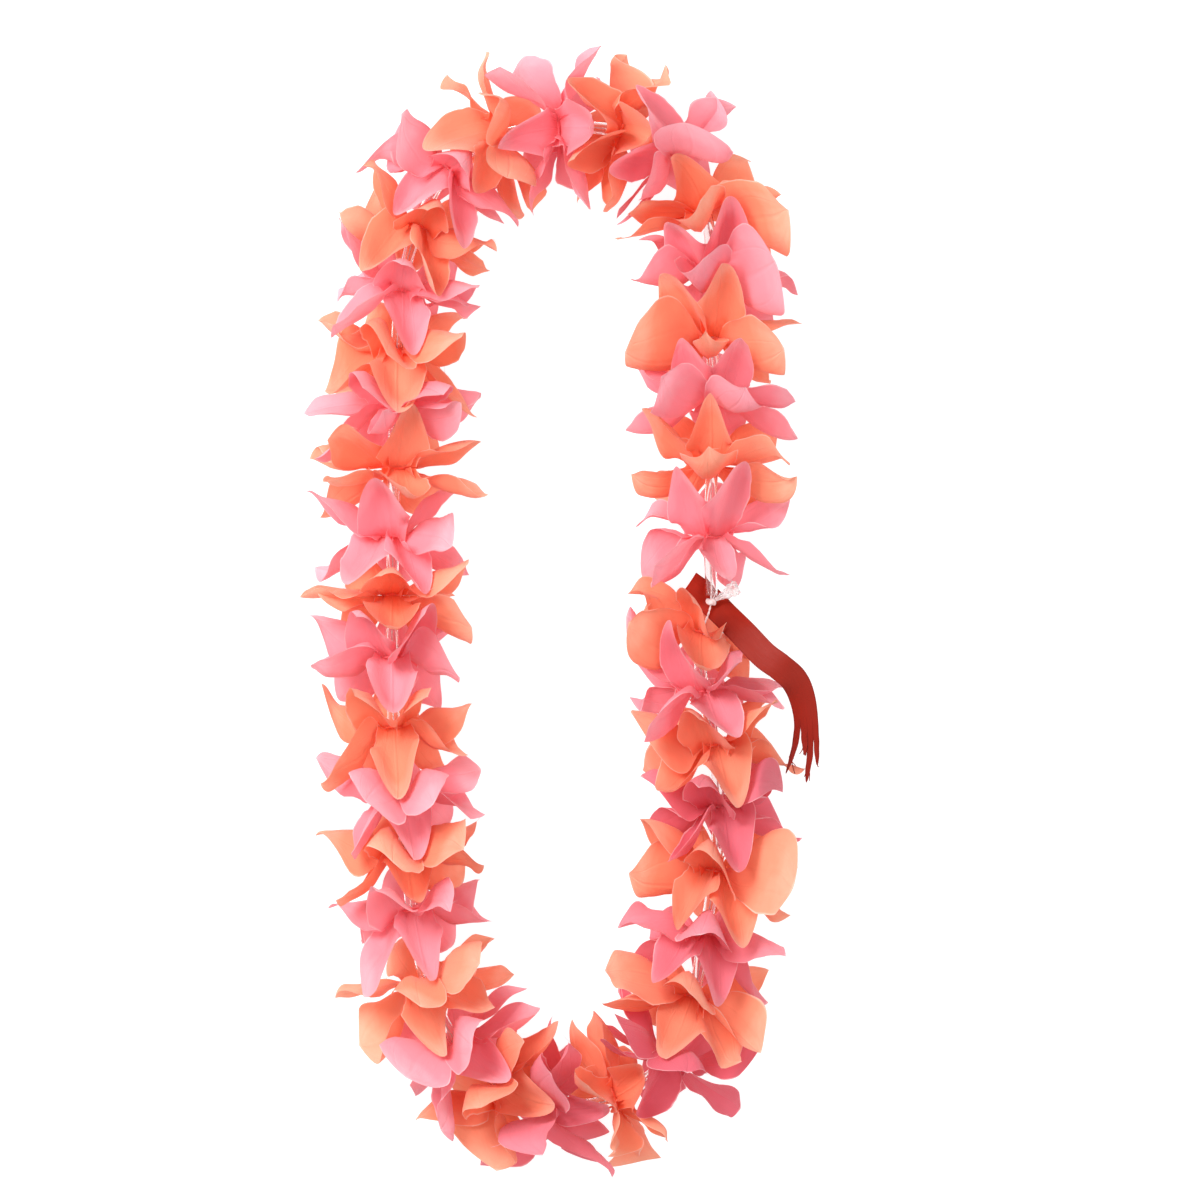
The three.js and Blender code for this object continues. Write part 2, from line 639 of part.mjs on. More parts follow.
function makeFilm() {
  const curve = routeCurve(FILM_ROUTE);
  const rows = FILM_ROUTE.map(({ at, half }, k) => {
    const along = curve.getTangent(k / (FILM_ROUTE.length - 1));
    const across = new THREE.Vector3(along.y, -along.x, FILM_CRUMPLE * (-1) ** k).setLength(half);
    const middle = new THREE.Vector3(...at);
    return [middle.clone().sub(across), middle.clone().add(across)];
  });
  const material = new THREE.MeshStandardMaterial({ color: CLEAR, ...PLASTIC });
  const film = new THREE.Mesh(toGeometry(stripSolid(rows, FILM_THICKNESS)), material);
  film.name = "knot_film";
  return film;
}

// --- The whole ----------------------------------------------------------------------------------

const lei = new THREE.Group();
lei.add(...makeBlooms(), makeStrand(), makeRibbon(), makeFilm());

// The origin is under the middle of the whole, on the surface.
const bounds = new THREE.Box3().setFromObject(lei, true);
const middle = bounds.getCenter(new THREE.Vector3());
lei.position.set(-middle.x, -middle.y, -bounds.min.z);

export default lei;
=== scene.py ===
import math

import bmesh
import bpy
import numpy as np
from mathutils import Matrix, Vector


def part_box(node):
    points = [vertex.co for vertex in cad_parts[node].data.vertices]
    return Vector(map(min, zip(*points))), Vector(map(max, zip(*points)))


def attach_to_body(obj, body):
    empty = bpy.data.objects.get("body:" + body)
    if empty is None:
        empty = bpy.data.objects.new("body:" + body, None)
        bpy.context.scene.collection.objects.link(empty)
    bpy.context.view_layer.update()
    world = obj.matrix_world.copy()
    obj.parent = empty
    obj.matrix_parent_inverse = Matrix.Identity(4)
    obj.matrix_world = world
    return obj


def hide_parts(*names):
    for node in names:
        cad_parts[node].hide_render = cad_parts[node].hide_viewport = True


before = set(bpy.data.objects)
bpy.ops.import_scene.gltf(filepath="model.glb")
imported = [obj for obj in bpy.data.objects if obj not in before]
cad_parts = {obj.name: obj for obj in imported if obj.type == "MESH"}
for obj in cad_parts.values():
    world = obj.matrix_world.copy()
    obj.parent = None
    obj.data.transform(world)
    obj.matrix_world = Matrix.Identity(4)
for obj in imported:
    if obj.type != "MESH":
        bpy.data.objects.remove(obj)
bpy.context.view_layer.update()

# An artificial flower lei laid flat: cloth blooms on a thread with clear spacer tubes, a knot with a
# scrap of clear film, and a short red ribbon. Shapes are worked out in millimetres in the frame of the
# string's route, then moved into the part's frame and turned into metres.

MM = 0.001

# ------------------------------------------------------------------------------------------------
# The string and the space that each bloom fills, as in the part's solids
# ------------------------------------------------------------------------------------------------

STRING_HEIGHT = 31.0
PITCH = 32.9
FIRST_HUB = 36.2
ROUTE = np.array([
    [78.6, 7.3], [78.1, 39.6], [79.4, 96], [79.4, 146.3], [79.2, 179.2], [75.6, 210.4],
    [60.4, 238.6], [32.3, 252.1], [0, 254.6], [-31.2, 250], [-57.3, 233.4], [-72.9, 205.2],
    [-82.3, 171.9], [-85.6, 122.9], [-86.6, 59.1], [-87.5, -6.5], [-86.5, -56.8], [-81.8, -106.3],
    [-77.1, -153.1], [-69.8, -189.6], [-54.1, -221.9], [-31.2, -243.8], [-4.2, -254.6],
    [27.1, -251.6], [53.2, -233.4], [68.2, -202.1], [75, -167.7], [80.8, -132.3], [82.6, -98.4],
    [80.2, -67.2], [74.6, -38.5], [72.9, -12.5],
])
# Each bloom: slip, azimuth of its first forward petal, lean of the border after it (outer, top, inner),
# the pick of its petals' draw and how deep its colour is.
BLOOMS = [
    (-2.5, 58, (4, 29, 10), 144, 0.1), (2.5, 23, (0, 23, 7), 120, 0.1),
    (3, 56, (2, 26, 6), 149, 0.15), (2, 70, (-7, 31, 11), 44, 0.1),
    (3, 62, (-9, 23, 8), 99, 0.2), (3, 18, (-2, 23, 4), 155, 0.1),
    (3, 50, (0, 13, 6), 190, 0.1), (1, 52, (-2, 5, 0), 128, 0.1),
    (1, 26, (2, 16, 0), 76, 0.1), (0, 57, (4, 18, 4), 114, 0.1),
    (-2, 61, (2, 16, 3), 30, 0.05), (-1, 52, (-12, 13, 3), 568, 0.1),
    (1, 34, (-4, 18, 2), 58, 0.0), (0, 22, (4, 10, 11), 106, 0.0),
    (-4, 0, (11, -18, 5), 198, 0.1), (-5, 35, (1, -10, -5), 120, 0.1),
    (-2, 49, (4, 13, 0), 117, 0.0), (-5, 18, (3, -8, 4), 143, 0.0),
    (-5, 18, (-5, 3, 2), 89, 0.1), (-1.5, 18, (0, 23, 5), 109, 0.0),
    (0, 34, (8, 21, 0), 91, 0.1), (-2.5, 23, (0, 8, 0), 162, 0.1),
    (-5, 30, (5, 29, 0), 82, 0.1), (0, 68, (0, 29, 0), 36, 0.0),
    (4, 29, (7, 18, 0), 2, 0.1), (2, 15, (0, 13, 0), 137, 0.2),
    (-3.5, 5, (5, 8, 0), 262, 0.6), (-1, 30, (-1, -5, 0), 107, 0.2),
    (1, 67, (8, -26, 0), 39, 0.9), (3, 25, (-9, -18, -6), 181, 0.2),
    (3.5, 15, (-6, -26, 0), 121, 0.4), (4, 27, (6, -21, 10), 127, 0.2),
    (4.5, 33, (2, -13, 2), 558, 0.7), (3, 33, (-4, -5, 4), 669, 0.2),
    (-1.5, 50, (-14, 6, 14), 780, 0.3), (-3, 112, (-16, -3, 18), 165, 0.2),
]
# The last bloom's forward petals stand closer together, this many degrees apart.
LAST_SPACING = 56.0
# The border between the knot and the first bloom, as a row like those of the blooms.
KNOT_SIDE = (0, 32, (-13, -4, -4), 0, 0)
SEED_START, SEED_ROW, SEED_PICK = 977, 131, 7919
KNOT_CLEARANCE = 12.0

# The border between two blooms leans with the distance from the string, as on a radius of RIM, and
# bulges towards the petals' middles from BULGE_RADIUS on.
RIM = 44.0
RIM_REACH = 1.1
LEAN_POWER = 1.7
BULGE = 10.5
BULGE_RADIUS = 22.0
HUB_RADIUS = 5.2
HUB_THICKNESS = 3.2
HUB_BLEND = 18.0
ROOT_RISE = 0.8

# Petals. Lengths are in mm, and reach, curl, twist and ripple are shares of half the space's depth.
PETALS = 5
PETAL_LENGTH = (43.5, 49.0)
PETAL_HALF_WIDTH = (14.6, 16.8)
PETAL_REACH = (0.5, 0.88)
PETAL_CUP = (2, 6)
PETAL_CURL = (-0.2, 0.15)
PETAL_TWIST = (0.1, 0.45)
PETAL_RIPPLE = (0.02, 0.08)
AZIMUTH_PLAY = 4
CLAW = 0.8
CLAW_END = 0.48
WIDEST_AT = 0.5
NARROW_SHARE = 0.12
NARROW_WIDTH = 0.6
NARROW_CUP = 1.5
TOP_REACH = 1.02
TOP_FOCUS = 6
TOP_STRAIGHTNESS = 0.7
FLOOR_REACH = 1.1
FLOOR_FOCUS = 3
RISE = 1.6
CURL_FROM, CURL_SPAN = 0.7, 0.3
TWIST_TURNS = 0.85
RIPPLES = 7
SIDE_TWIST = 0.8
CROWDING = 0.6
CROWDED = math.radians(50)
RIDGE_STEPS = 24
RIDGE_LOOK = 0.8
RIDGE_LEAST = 0.25
SECTOR_SHARE = 0.49
BORDER_SHARE = 0.94
BORDER_POWER = 6
MIDDLE_SHARE = 0.08

# Petals near the floor are pressed flat and spread.
PRESS_HEIGHT = 16.0
PRESS_DEPTH = 17.2
PRESS_SPREAD = 0.02
FLOOR_GAP = 0.12

THREAD_RADIUS = 0.6
TUBE_RADIUS = 3.2
SEAT = 0.3
KNOT_RADIUS = 3.2
STRAND_SIDES = 6

# Points of the ribbon's middle line with its roll there in degrees.
RIBBON_ROUTE = np.array([
    [66.9, 16.7, 29, -8], [76.6, 9.4, 25.8, 0], [85.4, 1, 30.5, -14], [95.8, -9.4, 40, -6],
    [106.2, -20.3, 45, 0], [114.6, -26.6, 47, 8], [121.9, -33.3, 45, 5], [126, -42.7, 41, 20],
    [128.1, -55.7, 36, 30], [127.9, -68.7, 31.5, 16], [126.2, -83, 28, -4],
])
RIBBON_WIDTH = 14.5

# From its fourth point on, the ribbon presses down the petals under it.
PRESSED_FROM = 3
PRESSED_HALF_WIDTH = 10.0
PRESSED_GAP = 2.4
PRESSED_DEPTH = 14.0
PRESSED_SLOPE = 2.2


def smoothstep(x, low, high):
    x = np.clip((x - low) / (high - low), 0, 1)
    return x * x * (3 - 2 * x)


def lerp(a, b, t):
    return a + (b - a) * t


def seeded(seed):
    """A repeatable draw of numbers between 0 and 1."""
    state = seed

    def draw():
        nonlocal state
        state = (state * 16807) % 2147483647
        return state / 2147483647

    return draw


def string_at(t):
    """Positions and directions on the closed curve through ROUTE, for t from 0 to 1."""
    count = len(ROUTE)
    place = np.mod(t, 1.0) * count
    low = np.floor(place).astype(int)
    w = (place - low)[..., None]
    p0, p1, p2, p3 = (ROUTE[(low + k) % count] for k in (-1, 0, 1, 2))
    d1, d2 = 0.5 * (p2 - p0), 0.5 * (p3 - p1)
    c2 = -3 * p1 + 3 * p2 - 2 * d1 - d2
    c3 = 2 * p1 - 2 * p2 + d1 + d2
    at = p1 + d1 * w + c2 * w ** 2 + c3 * w ** 3
    along = d1 + 2 * c2 * w + 3 * c3 * w ** 2
    return at, along / np.linalg.norm(along, axis=-1, keepdims=True)


ROUTE_SAMPLES = 3001
_t = np.linspace(0, 1, ROUTE_SAMPLES)
_steps = np.linalg.norm(np.diff(string_at(_t)[0], axis=0), axis=1)
_lengths = np.concatenate([[0], np.cumsum(_steps)])
STRING_LENGTH = _lengths[-1]
hubs = np.array([FIRST_HUB + i * PITCH + b[0] for i, b in enumerate(BLOOMS)])


def string_frame(s):
    """Position, direction and outward direction on the string at an arc length."""
    s = np.asarray(s, float)
    at, along = string_at(np.interp(np.mod(s, STRING_LENGTH), _lengths, _t))
    out = np.stack([along[..., 1], -along[..., 0]], axis=-1)
    return at, along, out


def lean_at(row, r, azimuth):
    """How far the border after a bloom lies ahead at a radius and azimuth."""
    _, forward, (outer, top, inner), _, _ = row
    under = (outer + inner) / 4
    mean = (outer + top + inner + under) / 4
    sideways = (outer - inner) / 2 * np.cos(azimuth)
    upright = (top - under) / 2 * np.sin(azimuth)
    oval = (outer + inner - top - under) / 4 * np.cos(2 * azimuth)
    bulge = BULGE * smoothstep(r, HUB_RADIUS, BULGE_RADIUS)
    wave = bulge * np.cos(PETALS * (azimuth - math.radians(forward)))
    return (mean + sideways + upright + oval) * np.minimum(r / RIM, RIM_REACH) ** LEAN_POWER + wave


def space_at(i, r, azimuth):
    """Arc lengths of the middle of a bloom's space and of half its depth."""
    before = (hubs[i - 1] + hubs[i]) / 2 if i > 0 else hubs[0] - PITCH / 2
    after = (hubs[i] + hubs[i + 1]) / 2 if i + 1 < len(BLOOMS) else hubs[i] + KNOT_CLEARANCE
    low = before + lean_at(BLOOMS[i - 1] if i > 0 else KNOT_SIDE, r, azimuth)
    high = after + lean_at(BLOOMS[i], r, azimuth)
    offset = (before + after) / 2 - hubs[i]
    middle = (low + high) / 2 - offset * np.maximum(1 - r / HUB_BLEND, 0)
    return middle, (high - low) / 2


def pressed_by_ribbon(x, y, z):
    """Heights that stay under the ribbon."""
    ceiling = np.full(np.shape(z), np.inf)
    route = RIBBON_ROUTE[PRESSED_FROM:, :3]
    for a, b in zip(route[:-1], route[1:]):
        way = b - a
        share = (way[0] * (x - a[0]) + way[1] * (y - a[1])) / (way[0] ** 2 + way[1] ** 2)
        share = np.clip(share, 0, 1)
        away = np.hypot(x - a[0] - way[0] * share, y - a[1] - way[1] * share)
        beside = PRESSED_SLOPE * np.maximum(away - PRESSED_HALF_WIDTH, 0)
        ceiling = np.minimum(ceiling, a[2] + way[2] * share - PRESSED_GAP + beside)
    knee = ceiling - PRESSED_DEPTH
    over = knee + PRESSED_DEPTH * np.tanh(np.maximum(z - knee, 0) / PRESSED_DEPTH)
    return np.where(z < knee, z, over)


def point_at(s, r, azimuth):
    """Points round the string, pressed by the floor and the ribbon."""
    at, _, out = string_frame(s)
    free = STRING_HEIGHT + r * np.sin(azimuth)
    low = PRESS_HEIGHT - PRESS_DEPTH * np.tanh((PRESS_HEIGHT - free) / PRESS_DEPTH)
    height = np.where(free > PRESS_HEIGHT, free, low)
    spread = 1 + PRESS_SPREAD * (height - free)
    xy = at + out * (r * np.cos(azimuth) * spread)[..., None]
    z = np.maximum(pressed_by_ribbon(xy[..., 0], xy[..., 1], height), FLOOR_GAP)
    return np.concatenate([xy, z[..., None]], axis=-1)


def outline_at(t, full, point):
    """Half the width of a petal, as a share of its widest; how full it stays and how pointed it ends."""
    claw = CLAW + (1 - CLAW) * smoothstep(t, 0, CLAW_END)
    past = np.clip((t - WIDEST_AT) / (1 - WIDEST_AT), 0, 1)
    return claw * (1 - past ** full) ** point


def drawn_up(azimuth):
    """Petals near the top crowd together over the string."""
    away = (azimuth - math.pi / 2 + math.pi) % math.tau - math.pi
    return azimuth - away * CROWDING * math.exp(-(away / CROWDED) ** 2)


def draw_petal(draw, azimuth):
    """The drawn facts of one petal, the same as in its solid."""
    play = math.radians(lerp(-AZIMUTH_PLAY, AZIMUTH_PLAY, draw()))
    petal = {"azimuth": drawn_up(azimuth + play)}
    petal["length"] = lerp(*PETAL_LENGTH, draw())
    petal["half_width"] = lerp(*PETAL_HALF_WIDTH, draw())
    petal["reach"] = lerp(*PETAL_REACH, draw())
    petal["cup"] = lerp(*PETAL_CUP, draw())
    petal["curl"] = lerp(*PETAL_CURL, draw())
    twist = lerp(*PETAL_TWIST, draw())
    petal["twist"] = -twist if draw() < 0.5 else twist
    petal["ripple"] = lerp(*PETAL_RIPPLE, draw())
    petal["phase"] = lerp(0, math.tau, draw())
    if draw() < NARROW_SHARE:
        petal["half_width"] *= NARROW_WIDTH
        petal["cup"] += NARROW_CUP
    over = max(math.sin(petal["azimuth"]), 0.0) ** TOP_FOCUS
    petal["reach"] = lerp(petal["reach"], TOP_REACH, over)
    petal["curl"] *= 1 - TOP_STRAIGHTNESS * over
    under = max(-math.sin(petal["azimuth"]), 0.0) ** FLOOR_FOCUS
    petal["reach"] = lerp(petal["reach"], FLOOR_REACH, under)
    return petal


def draw_whorl(draw, first, spacing=math.tau / PETALS):
    """Five petals, and how much room each has on its two sides."""
    whorl = [draw_petal(draw, first + spacing * k) for k in range(PETALS)]
    for k, petal in enumerate(whorl):
        after = whorl[(k + 1) % PETALS]
        gap = (after["azimuth"] - petal["azimuth"]) % math.tau
        petal["room_after"] = SECTOR_SHARE * gap
        after["room_before"] = SECTOR_SHARE * gap
    return whorl


def share_at(petal, t, v):
    """How much of the way to its border a petal has risen, t along it and v across."""
    rise = 1 - (1 - t) ** RISE
    curl = petal["curl"] * np.maximum((t - CURL_FROM) / CURL_SPAN, 0) ** 2
    turned = petal["twist"] * v * np.sin(TWIST_TURNS * math.pi * t)
    edge = petal["ripple"] * v * t * np.sin(RIPPLES * t + petal["phase"])
    return petal["reach"] * rise + curl + turned + edge


def soft_limit(share):
    return share / (1 + (np.abs(share) / BORDER_SHARE) ** BORDER_POWER) ** (1 / BORDER_POWER)


def height_at(i, side, r, azimuth, t, share):
    """Arc length of a petal's surface, kept between its bloom's middle and border."""
    middle, half = space_at(i, r, azimuth)
    kept = (share + np.hypot(share, MIDDLE_SHARE)) / 2
    filled = np.minimum(soft_limit(kept), BORDER_SHARE)
    return middle + side * (ROOT_RISE * (1 - t) + half * filled)


def ridge_of(i, side, petal):
    """Radii along a petal's middle line, in even steps of its length, and its lean."""
    step = petal["length"] / RIDGE_STEPS
    radii = [HUB_RADIUS]
    r = HUB_RADIUS
    height = float(height_at(i, side, r, petal["azimuth"], 0, 0))
    for k in range(1, RIDGE_STEPS + 1):
        t = k / RIDGE_STEPS
        share = share_at(petal, t, 0)
        after = float(height_at(i, side, r + RIDGE_LOOK * step, petal["azimuth"], t, share))
        r += math.sqrt(max(step ** 2 - (after - height) ** 2, (RIDGE_LEAST * step) ** 2))
        height = after
        radii.append(r)
    return np.array(radii), math.atan2(side * (height - hubs[i]), r - HUB_RADIUS)


# ------------------------------------------------------------------------------------------------
# Into the part's frame
# ------------------------------------------------------------------------------------------------

def strand_rings():
    """Arc lengths and radii of the steps between the strand's tubes and its bare thread."""
    rest = HUB_THICKNESS / 2 + SEAT
    rings = []
    for i, hub in enumerate(hubs):
        rings += [(hub - rest, TUBE_RADIUS), (hub - rest, THREAD_RADIUS), (hub + rest, THREAD_RADIUS)]
        if i < len(hubs) - 1:
            rings.append((hub + rest, TUBE_RADIUS))
    return rings


def strand_corner():
    """Lowest x and y of the strand's solid in the route's own frame."""
    low = []
    for s, radius in strand_rings():
        at, _, out = string_frame(s)
        for k in range(STRAND_SIDES):
            low.append(at + out * radius * math.cos(math.tau * k / STRAND_SIDES))
    return np.min(low, axis=0)


_node_low = np.array(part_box("strand")[0])[:2] / MM
SHIFT = np.array([*(_node_low - strand_corner()), 0.0])


def placed(points):
    """Points of the route's frame, in the part's frame and in metres."""
    return (np.asarray(points, float).reshape(-1, 3) + SHIFT) * MM


# ------------------------------------------------------------------------------------------------
# Mesh helpers
# ------------------------------------------------------------------------------------------------

class Sheet:
    """Gathers grids of points with their attributes into one mesh."""

    def __init__(self):
        self.points, self.faces, self.layers = [], [], {}
        self.count = 0

    def grid(self, points, closed=False, flip=False, **layers):
        rows, cols = points.shape[:2]
        first = self.count
        index = first + np.arange(rows * cols).reshape(rows, cols)
        if closed:
            index = np.concatenate([index, index[:, :1]], axis=1)
        quads = np.stack([index[:-1, :-1], index[:-1, 1:], index[1:, 1:], index[1:, :-1]], axis=-1)
        quads = quads.reshape(-1, 4)
        self.faces.append(quads[:, ::-1] if flip else quads)
        self.points.append(points.reshape(-1, 3))
        self.count += rows * cols
        for name, values in layers.items():
            values = np.broadcast_to(values, (rows, cols)).reshape(-1)
            self.layers.setdefault(name, []).append((first, values))

    def object(self, name, material):
        mesh = bpy.data.meshes.new(name)
        faces = np.concatenate(self.faces)
        mesh.from_pydata(placed(np.concatenate(self.points)).tolist(), [], faces.tolist())
        for layer, runs in self.layers.items():
            values = np.zeros(self.count, np.float32)
            for first, part in runs:
                values[first:first + len(part)] = part
            mesh.attributes.new(layer, "FLOAT", "POINT").data.foreach_set("value", values)
        mesh.polygons.foreach_set("use_smooth", [True] * len(mesh.polygons))
        mesh.materials.append(material)
        mesh.update()
        made = bpy.data.objects.new(name, mesh)
        bpy.context.scene.collection.objects.link(made)
        return made


def tube_grid(path, radius, sides):
    """Rings of points round a path; radius is a number or one for each point."""
    path = np.asarray(path, float)
    along = np.gradient(path, axis=0)
    along /= np.linalg.norm(along, axis=1, keepdims=True)
    across = np.cross(along, (0, 0, 1))
    size = np.linalg.norm(across, axis=1, keepdims=True)
    across = np.where(size < 1e-6, [1.0, 0.0, 0.0], across / np.maximum(size, 1e-6))
    third = np.cross(across, along)
    turn = np.linspace(0, math.tau, sides, endpoint=False)
    radius = np.broadcast_to(radius, len(path))[:, None, None]
    ring = across[:, None] * np.cos(turn)[None, :, None] + third[:, None] * np.sin(turn)[None, :, None]
    return path[:, None] + radius * ring


def attach(piece, node):
    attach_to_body(piece, "root")
    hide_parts(node)
    return piece


# ------------------------------------------------------------------------------------------------
# Materials
# ------------------------------------------------------------------------------------------------

def srgb(r, g, b):
    """A colour given in screen values from 0 to 255."""
    def linear(c):
        c /= 255
        return c / 12.92 if c <= 0.04045 else ((c + 0.055) / 1.055) ** 2.4
    return (linear(r), linear(g), linear(b), 1.0)


class Nodes:
    """A short way to write a node tree."""

    def __init__(self, name):
        self.material = bpy.data.materials.new(name)
        self.material.use_nodes = True
        self.tree = self.material.node_tree
        self.tree.nodes.clear()
        self.output = self.tree.nodes.new("ShaderNodeOutputMaterial")

    def add(self, kind, **values):
        node = self.tree.nodes.new("ShaderNode" + kind)
        for key, value in values.items():
            if hasattr(node, key):
                setattr(node, key, value)
            else:
                self.set(node.inputs[key.replace("_", " ")], value)
        return node

    def set(self, socket, value):
        if isinstance(value, bpy.types.NodeSocket):
            self.tree.links.new(value, socket)
        else:
            socket.default_value = value

    def math(self, operation, *values):
        node = self.tree.nodes.new("ShaderNodeMath")
        node.operation = operation
        for socket, value in zip(node.inputs, values):
            self.set(socket, value)
        return node.outputs[0]

    def times(self, value, factor):
        return self.math("MULTIPLY", value, factor)

    def swing(self, noise, size):
        """A noise between 0 and 1 as a swing about zero."""
        return self.times(self.math("SUBTRACT", noise, 0.5), size)

    def mix(self, factor, a, b):
        node = self.tree.nodes.new("ShaderNodeMix")
        node.data_type = "RGBA"
        for socket, value in ((node.inputs[0], factor), (node.inputs[6], a), (node.inputs[7], b)):
            self.set(socket, value)
        return node.outputs[2]

    def attribute(self, name):
        node = self.tree.nodes.new("ShaderNodeAttribute")
        node.attribute_name = name
        return node.outputs["Fac"]

    def ramp(self, factor, *stops):
        node = self.tree.nodes.new("ShaderNodeValToRGB")
        ramp = node.color_ramp
        while len(ramp.elements) < len(stops):
            ramp.elements.new(0.5)
        for element, (at, colour) in zip(ramp.elements, stops):
            element.position = at
            element.color = colour
        self.set(node.inputs[0], factor)
        return node.outputs[0]

    def range(self, value, low, high, to_low=0.0, to_high=1.0):
        node = self.tree.nodes.new("ShaderNodeMapRange")
        node.interpolation_type = "SMOOTHSTEP"
        for socket, v in zip(node.inputs, (value, low, high, to_low, to_high)):
            self.set(socket, v)
        return node.outputs[0]

    def vector(self, x, y, z):
        node = self.tree.nodes.new("ShaderNodeCombineXYZ")
        for socket, value in zip(node.inputs, (x, y, z)):
            self.set(socket, value)
        return node.outputs[0]

    def bumped(self, shader, height, strength, distance):
        """Gives a shader a bump, and returns the bump's normal."""
        bump = self.add("Bump", Strength=strength, Distance=distance)
        self.set(bump.inputs["Height"], height)
        self.set(shader.inputs["Normal"], bump.outputs[0])
        return bump.outputs[0]

    def noise(self, vector, scale, detail=3.0, roughness=0.5):
        node = self.add("TexNoise", Scale=scale, Detail=detail, Roughness=roughness)
        self.set(node.inputs["Vector"], vector)
        return node.outputs["Fac"]

    def surface(self, shader):
        self.tree.links.new(shader.outputs[0], self.output.inputs["Surface"])
        return self.material


# Where noises and waves lie on a piece, they are stretched to its size in millimetres or more.
PETAL_ACROSS, PETAL_ALONG, TONE_STEP = 14.0, 46.0, 90.0
RIBBON_ACROSS, RIBBON_ALONG = 7.25, 132.0
# How clear the tubes are.
PLAIN_CLEAR = 0.94


def cloth(name, deep, mid, lit, pale_rim_and_highlight, glow, dark):
    """Satin-like petal cloth, in painted shade towards the root and painted light towards the tip, with a
    pale rim that is partly a painted highlight. The layers along, across, tone and deep say where on a petal
    it is.
    """
    n = Nodes(name)
    along, across = n.attribute("along"), n.attribute("across")
    tone, deeper = n.attribute("tone"), n.attribute("deep")
    wide = n.math("ABSOLUTE", across)
    on_cloth = n.vector(n.times(across, PETAL_ACROSS), n.times(along, PETAL_ALONG), n.times(tone, TONE_STEP))
    drawn_out = n.vector(n.times(across, 9.0), n.times(along, 3.0), n.times(tone, 70.0))
    streaks = n.noise(drawn_out, 0.55, 4.0, 0.6)
    patches = n.noise(on_cloth, 0.09, 3.0, 0.55)
    place = n.math("ADD", along, n.swing(patches, 0.5))
    place = n.math("ADD", place, n.swing(streaks, 0.22))
    # Painted shade and painted light: deep, saturated colour at the root where the petal is hollow, lighter
    # towards the lit tip.
    colour = n.ramp(place, (0.0, deep), (0.28, mid), (0.62, mid), (0.98, lit))
    colour = n.mix(n.times(n.math("SUBTRACT", tone, 0.35), 0.5), colour, lit)
    colour = n.mix(deeper, colour, dark)
    # A pale rim at the edges and the tip: partly the real pale cut edge, partly a painted highlight.
    edge = n.range(n.math("ADD", wide, n.swing(streaks, 0.05)), 0.945, 0.995)
    tip = n.range(along, 0.965, 0.995)
    colour = n.mix(n.times(n.math("MAXIMUM", edge, tip), 0.8), colour, pale_rim_and_highlight)
    # Warp and weft, the pressed midrib with its side lines, and soft creases.
    warp = n.add("TexWave", wave_type="BANDS", bands_direction="X", Scale=1.35, Distortion=0.6, Detail=1.0)
    weft = n.add("TexWave", wave_type="BANDS", bands_direction="Y", Scale=1.35, Distortion=0.6, Detail=1.0)
    for node in (warp, weft):
        n.set(node.inputs["Vector"], on_cloth)
    weave = n.times(n.math("ADD", warp.outputs["Fac"], weft.outputs["Fac"]), 0.05)
    rib = n.range(wide, 0.0, 0.07, -0.5, 0.0)
    line_middle = n.math("ADD", 0.34, n.times(along, 0.12))
    lines = n.range(n.math("ABSOLUTE", n.math("SUBTRACT", wide, line_middle)), 0.0, 0.035, -0.22, 0.0)
    broad = n.vector(n.times(across, 8.0), n.times(along, 9.0), n.times(tone, 50.0))
    crease = n.noise(broad, 0.42, 4.0, 0.55)
    height = n.math("ADD", n.math("ADD", weave, rib), n.math("ADD", lines, n.times(crease, 1.1)))
    shader = n.add("BsdfPrincipled", Sheen_Weight=0.22, Sheen_Roughness=0.45, IOR=1.42)
    normal = n.bumped(shader, height, 0.5, 0.0011)
    n.set(shader.inputs["Specular IOR Level"], 0.32)
    n.set(shader.inputs["Base Color"], colour)
    n.set(shader.inputs["Roughness"], n.range(streaks, 0.2, 0.8, 0.5, 0.68))
    through = n.add("BsdfTranslucent")
    n.set(through.inputs["Color"], n.mix(0.55, colour, glow))
    n.set(through.inputs["Normal"], normal)
    mixed = n.add("MixShader")
    for socket, value in zip(mixed.inputs, (0.34, shader.outputs[0], through.outputs[0])):
        n.set(socket, value)
    return n.surface(mixed)


def clear_plastic(name, rough, tint, streak_scale, clear=None):
    """Thin clear plastic with milky streaks, partly whitened plastic and partly painted highlight; clear is
    how clear it is from its least to its most.
    """
    n = Nodes(name)
    place = n.add("TexCoord").outputs["Object"]
    fine = n.noise(place, streak_scale, 3.0, 0.6)
    milky_and_highlight_streaks = n.noise(place, streak_scale * 0.12, 4.0, 0.65)
    shader = n.add("BsdfPrincipled", IOR=1.16, Coat_Weight=1.0, Coat_Roughness=0.04)
    # Milky streaks, partly painted highlight: the plastic is less clear where the noise is low.
    clearness = n.range(milky_and_highlight_streaks, 0.35, 0.65, *clear) if clear else PLAIN_CLEAR
    n.set(shader.inputs["Transmission Weight"], clearness)
    n.set(shader.inputs["Coat IOR"], 1.55)
    n.set(shader.inputs["Base Color"], n.mix(n.range(milky_and_highlight_streaks, 0.4, 0.7), tint, srgb(255, 253, 252)))
    n.set(shader.inputs["Roughness"], n.range(fine, 0.2, 0.8, rough * 0.6, rough * 1.5))
    n.bumped(shader, fine, 0.3, 0.0002)
    return n.surface(shader)


def thread_material():
    n = Nodes("white_thread")
    place = n.add("TexCoord").outputs["Object"]
    fibres = n.noise(place, 2600.0, 3.0, 0.6)
    shader = n.add("BsdfPrincipled", Sheen_Weight=0.3, IOR=1.5)
    n.set(shader.inputs["Base Color"], n.mix(fibres, srgb(226, 222, 220), srgb(252, 250, 248)))
    n.set(shader.inputs["Roughness"], n.range(fibres, 0.2, 0.8, 0.4, 0.6))
    n.bumped(shader, fibres, 0.4, 0.0001)
    return n.surface(shader)


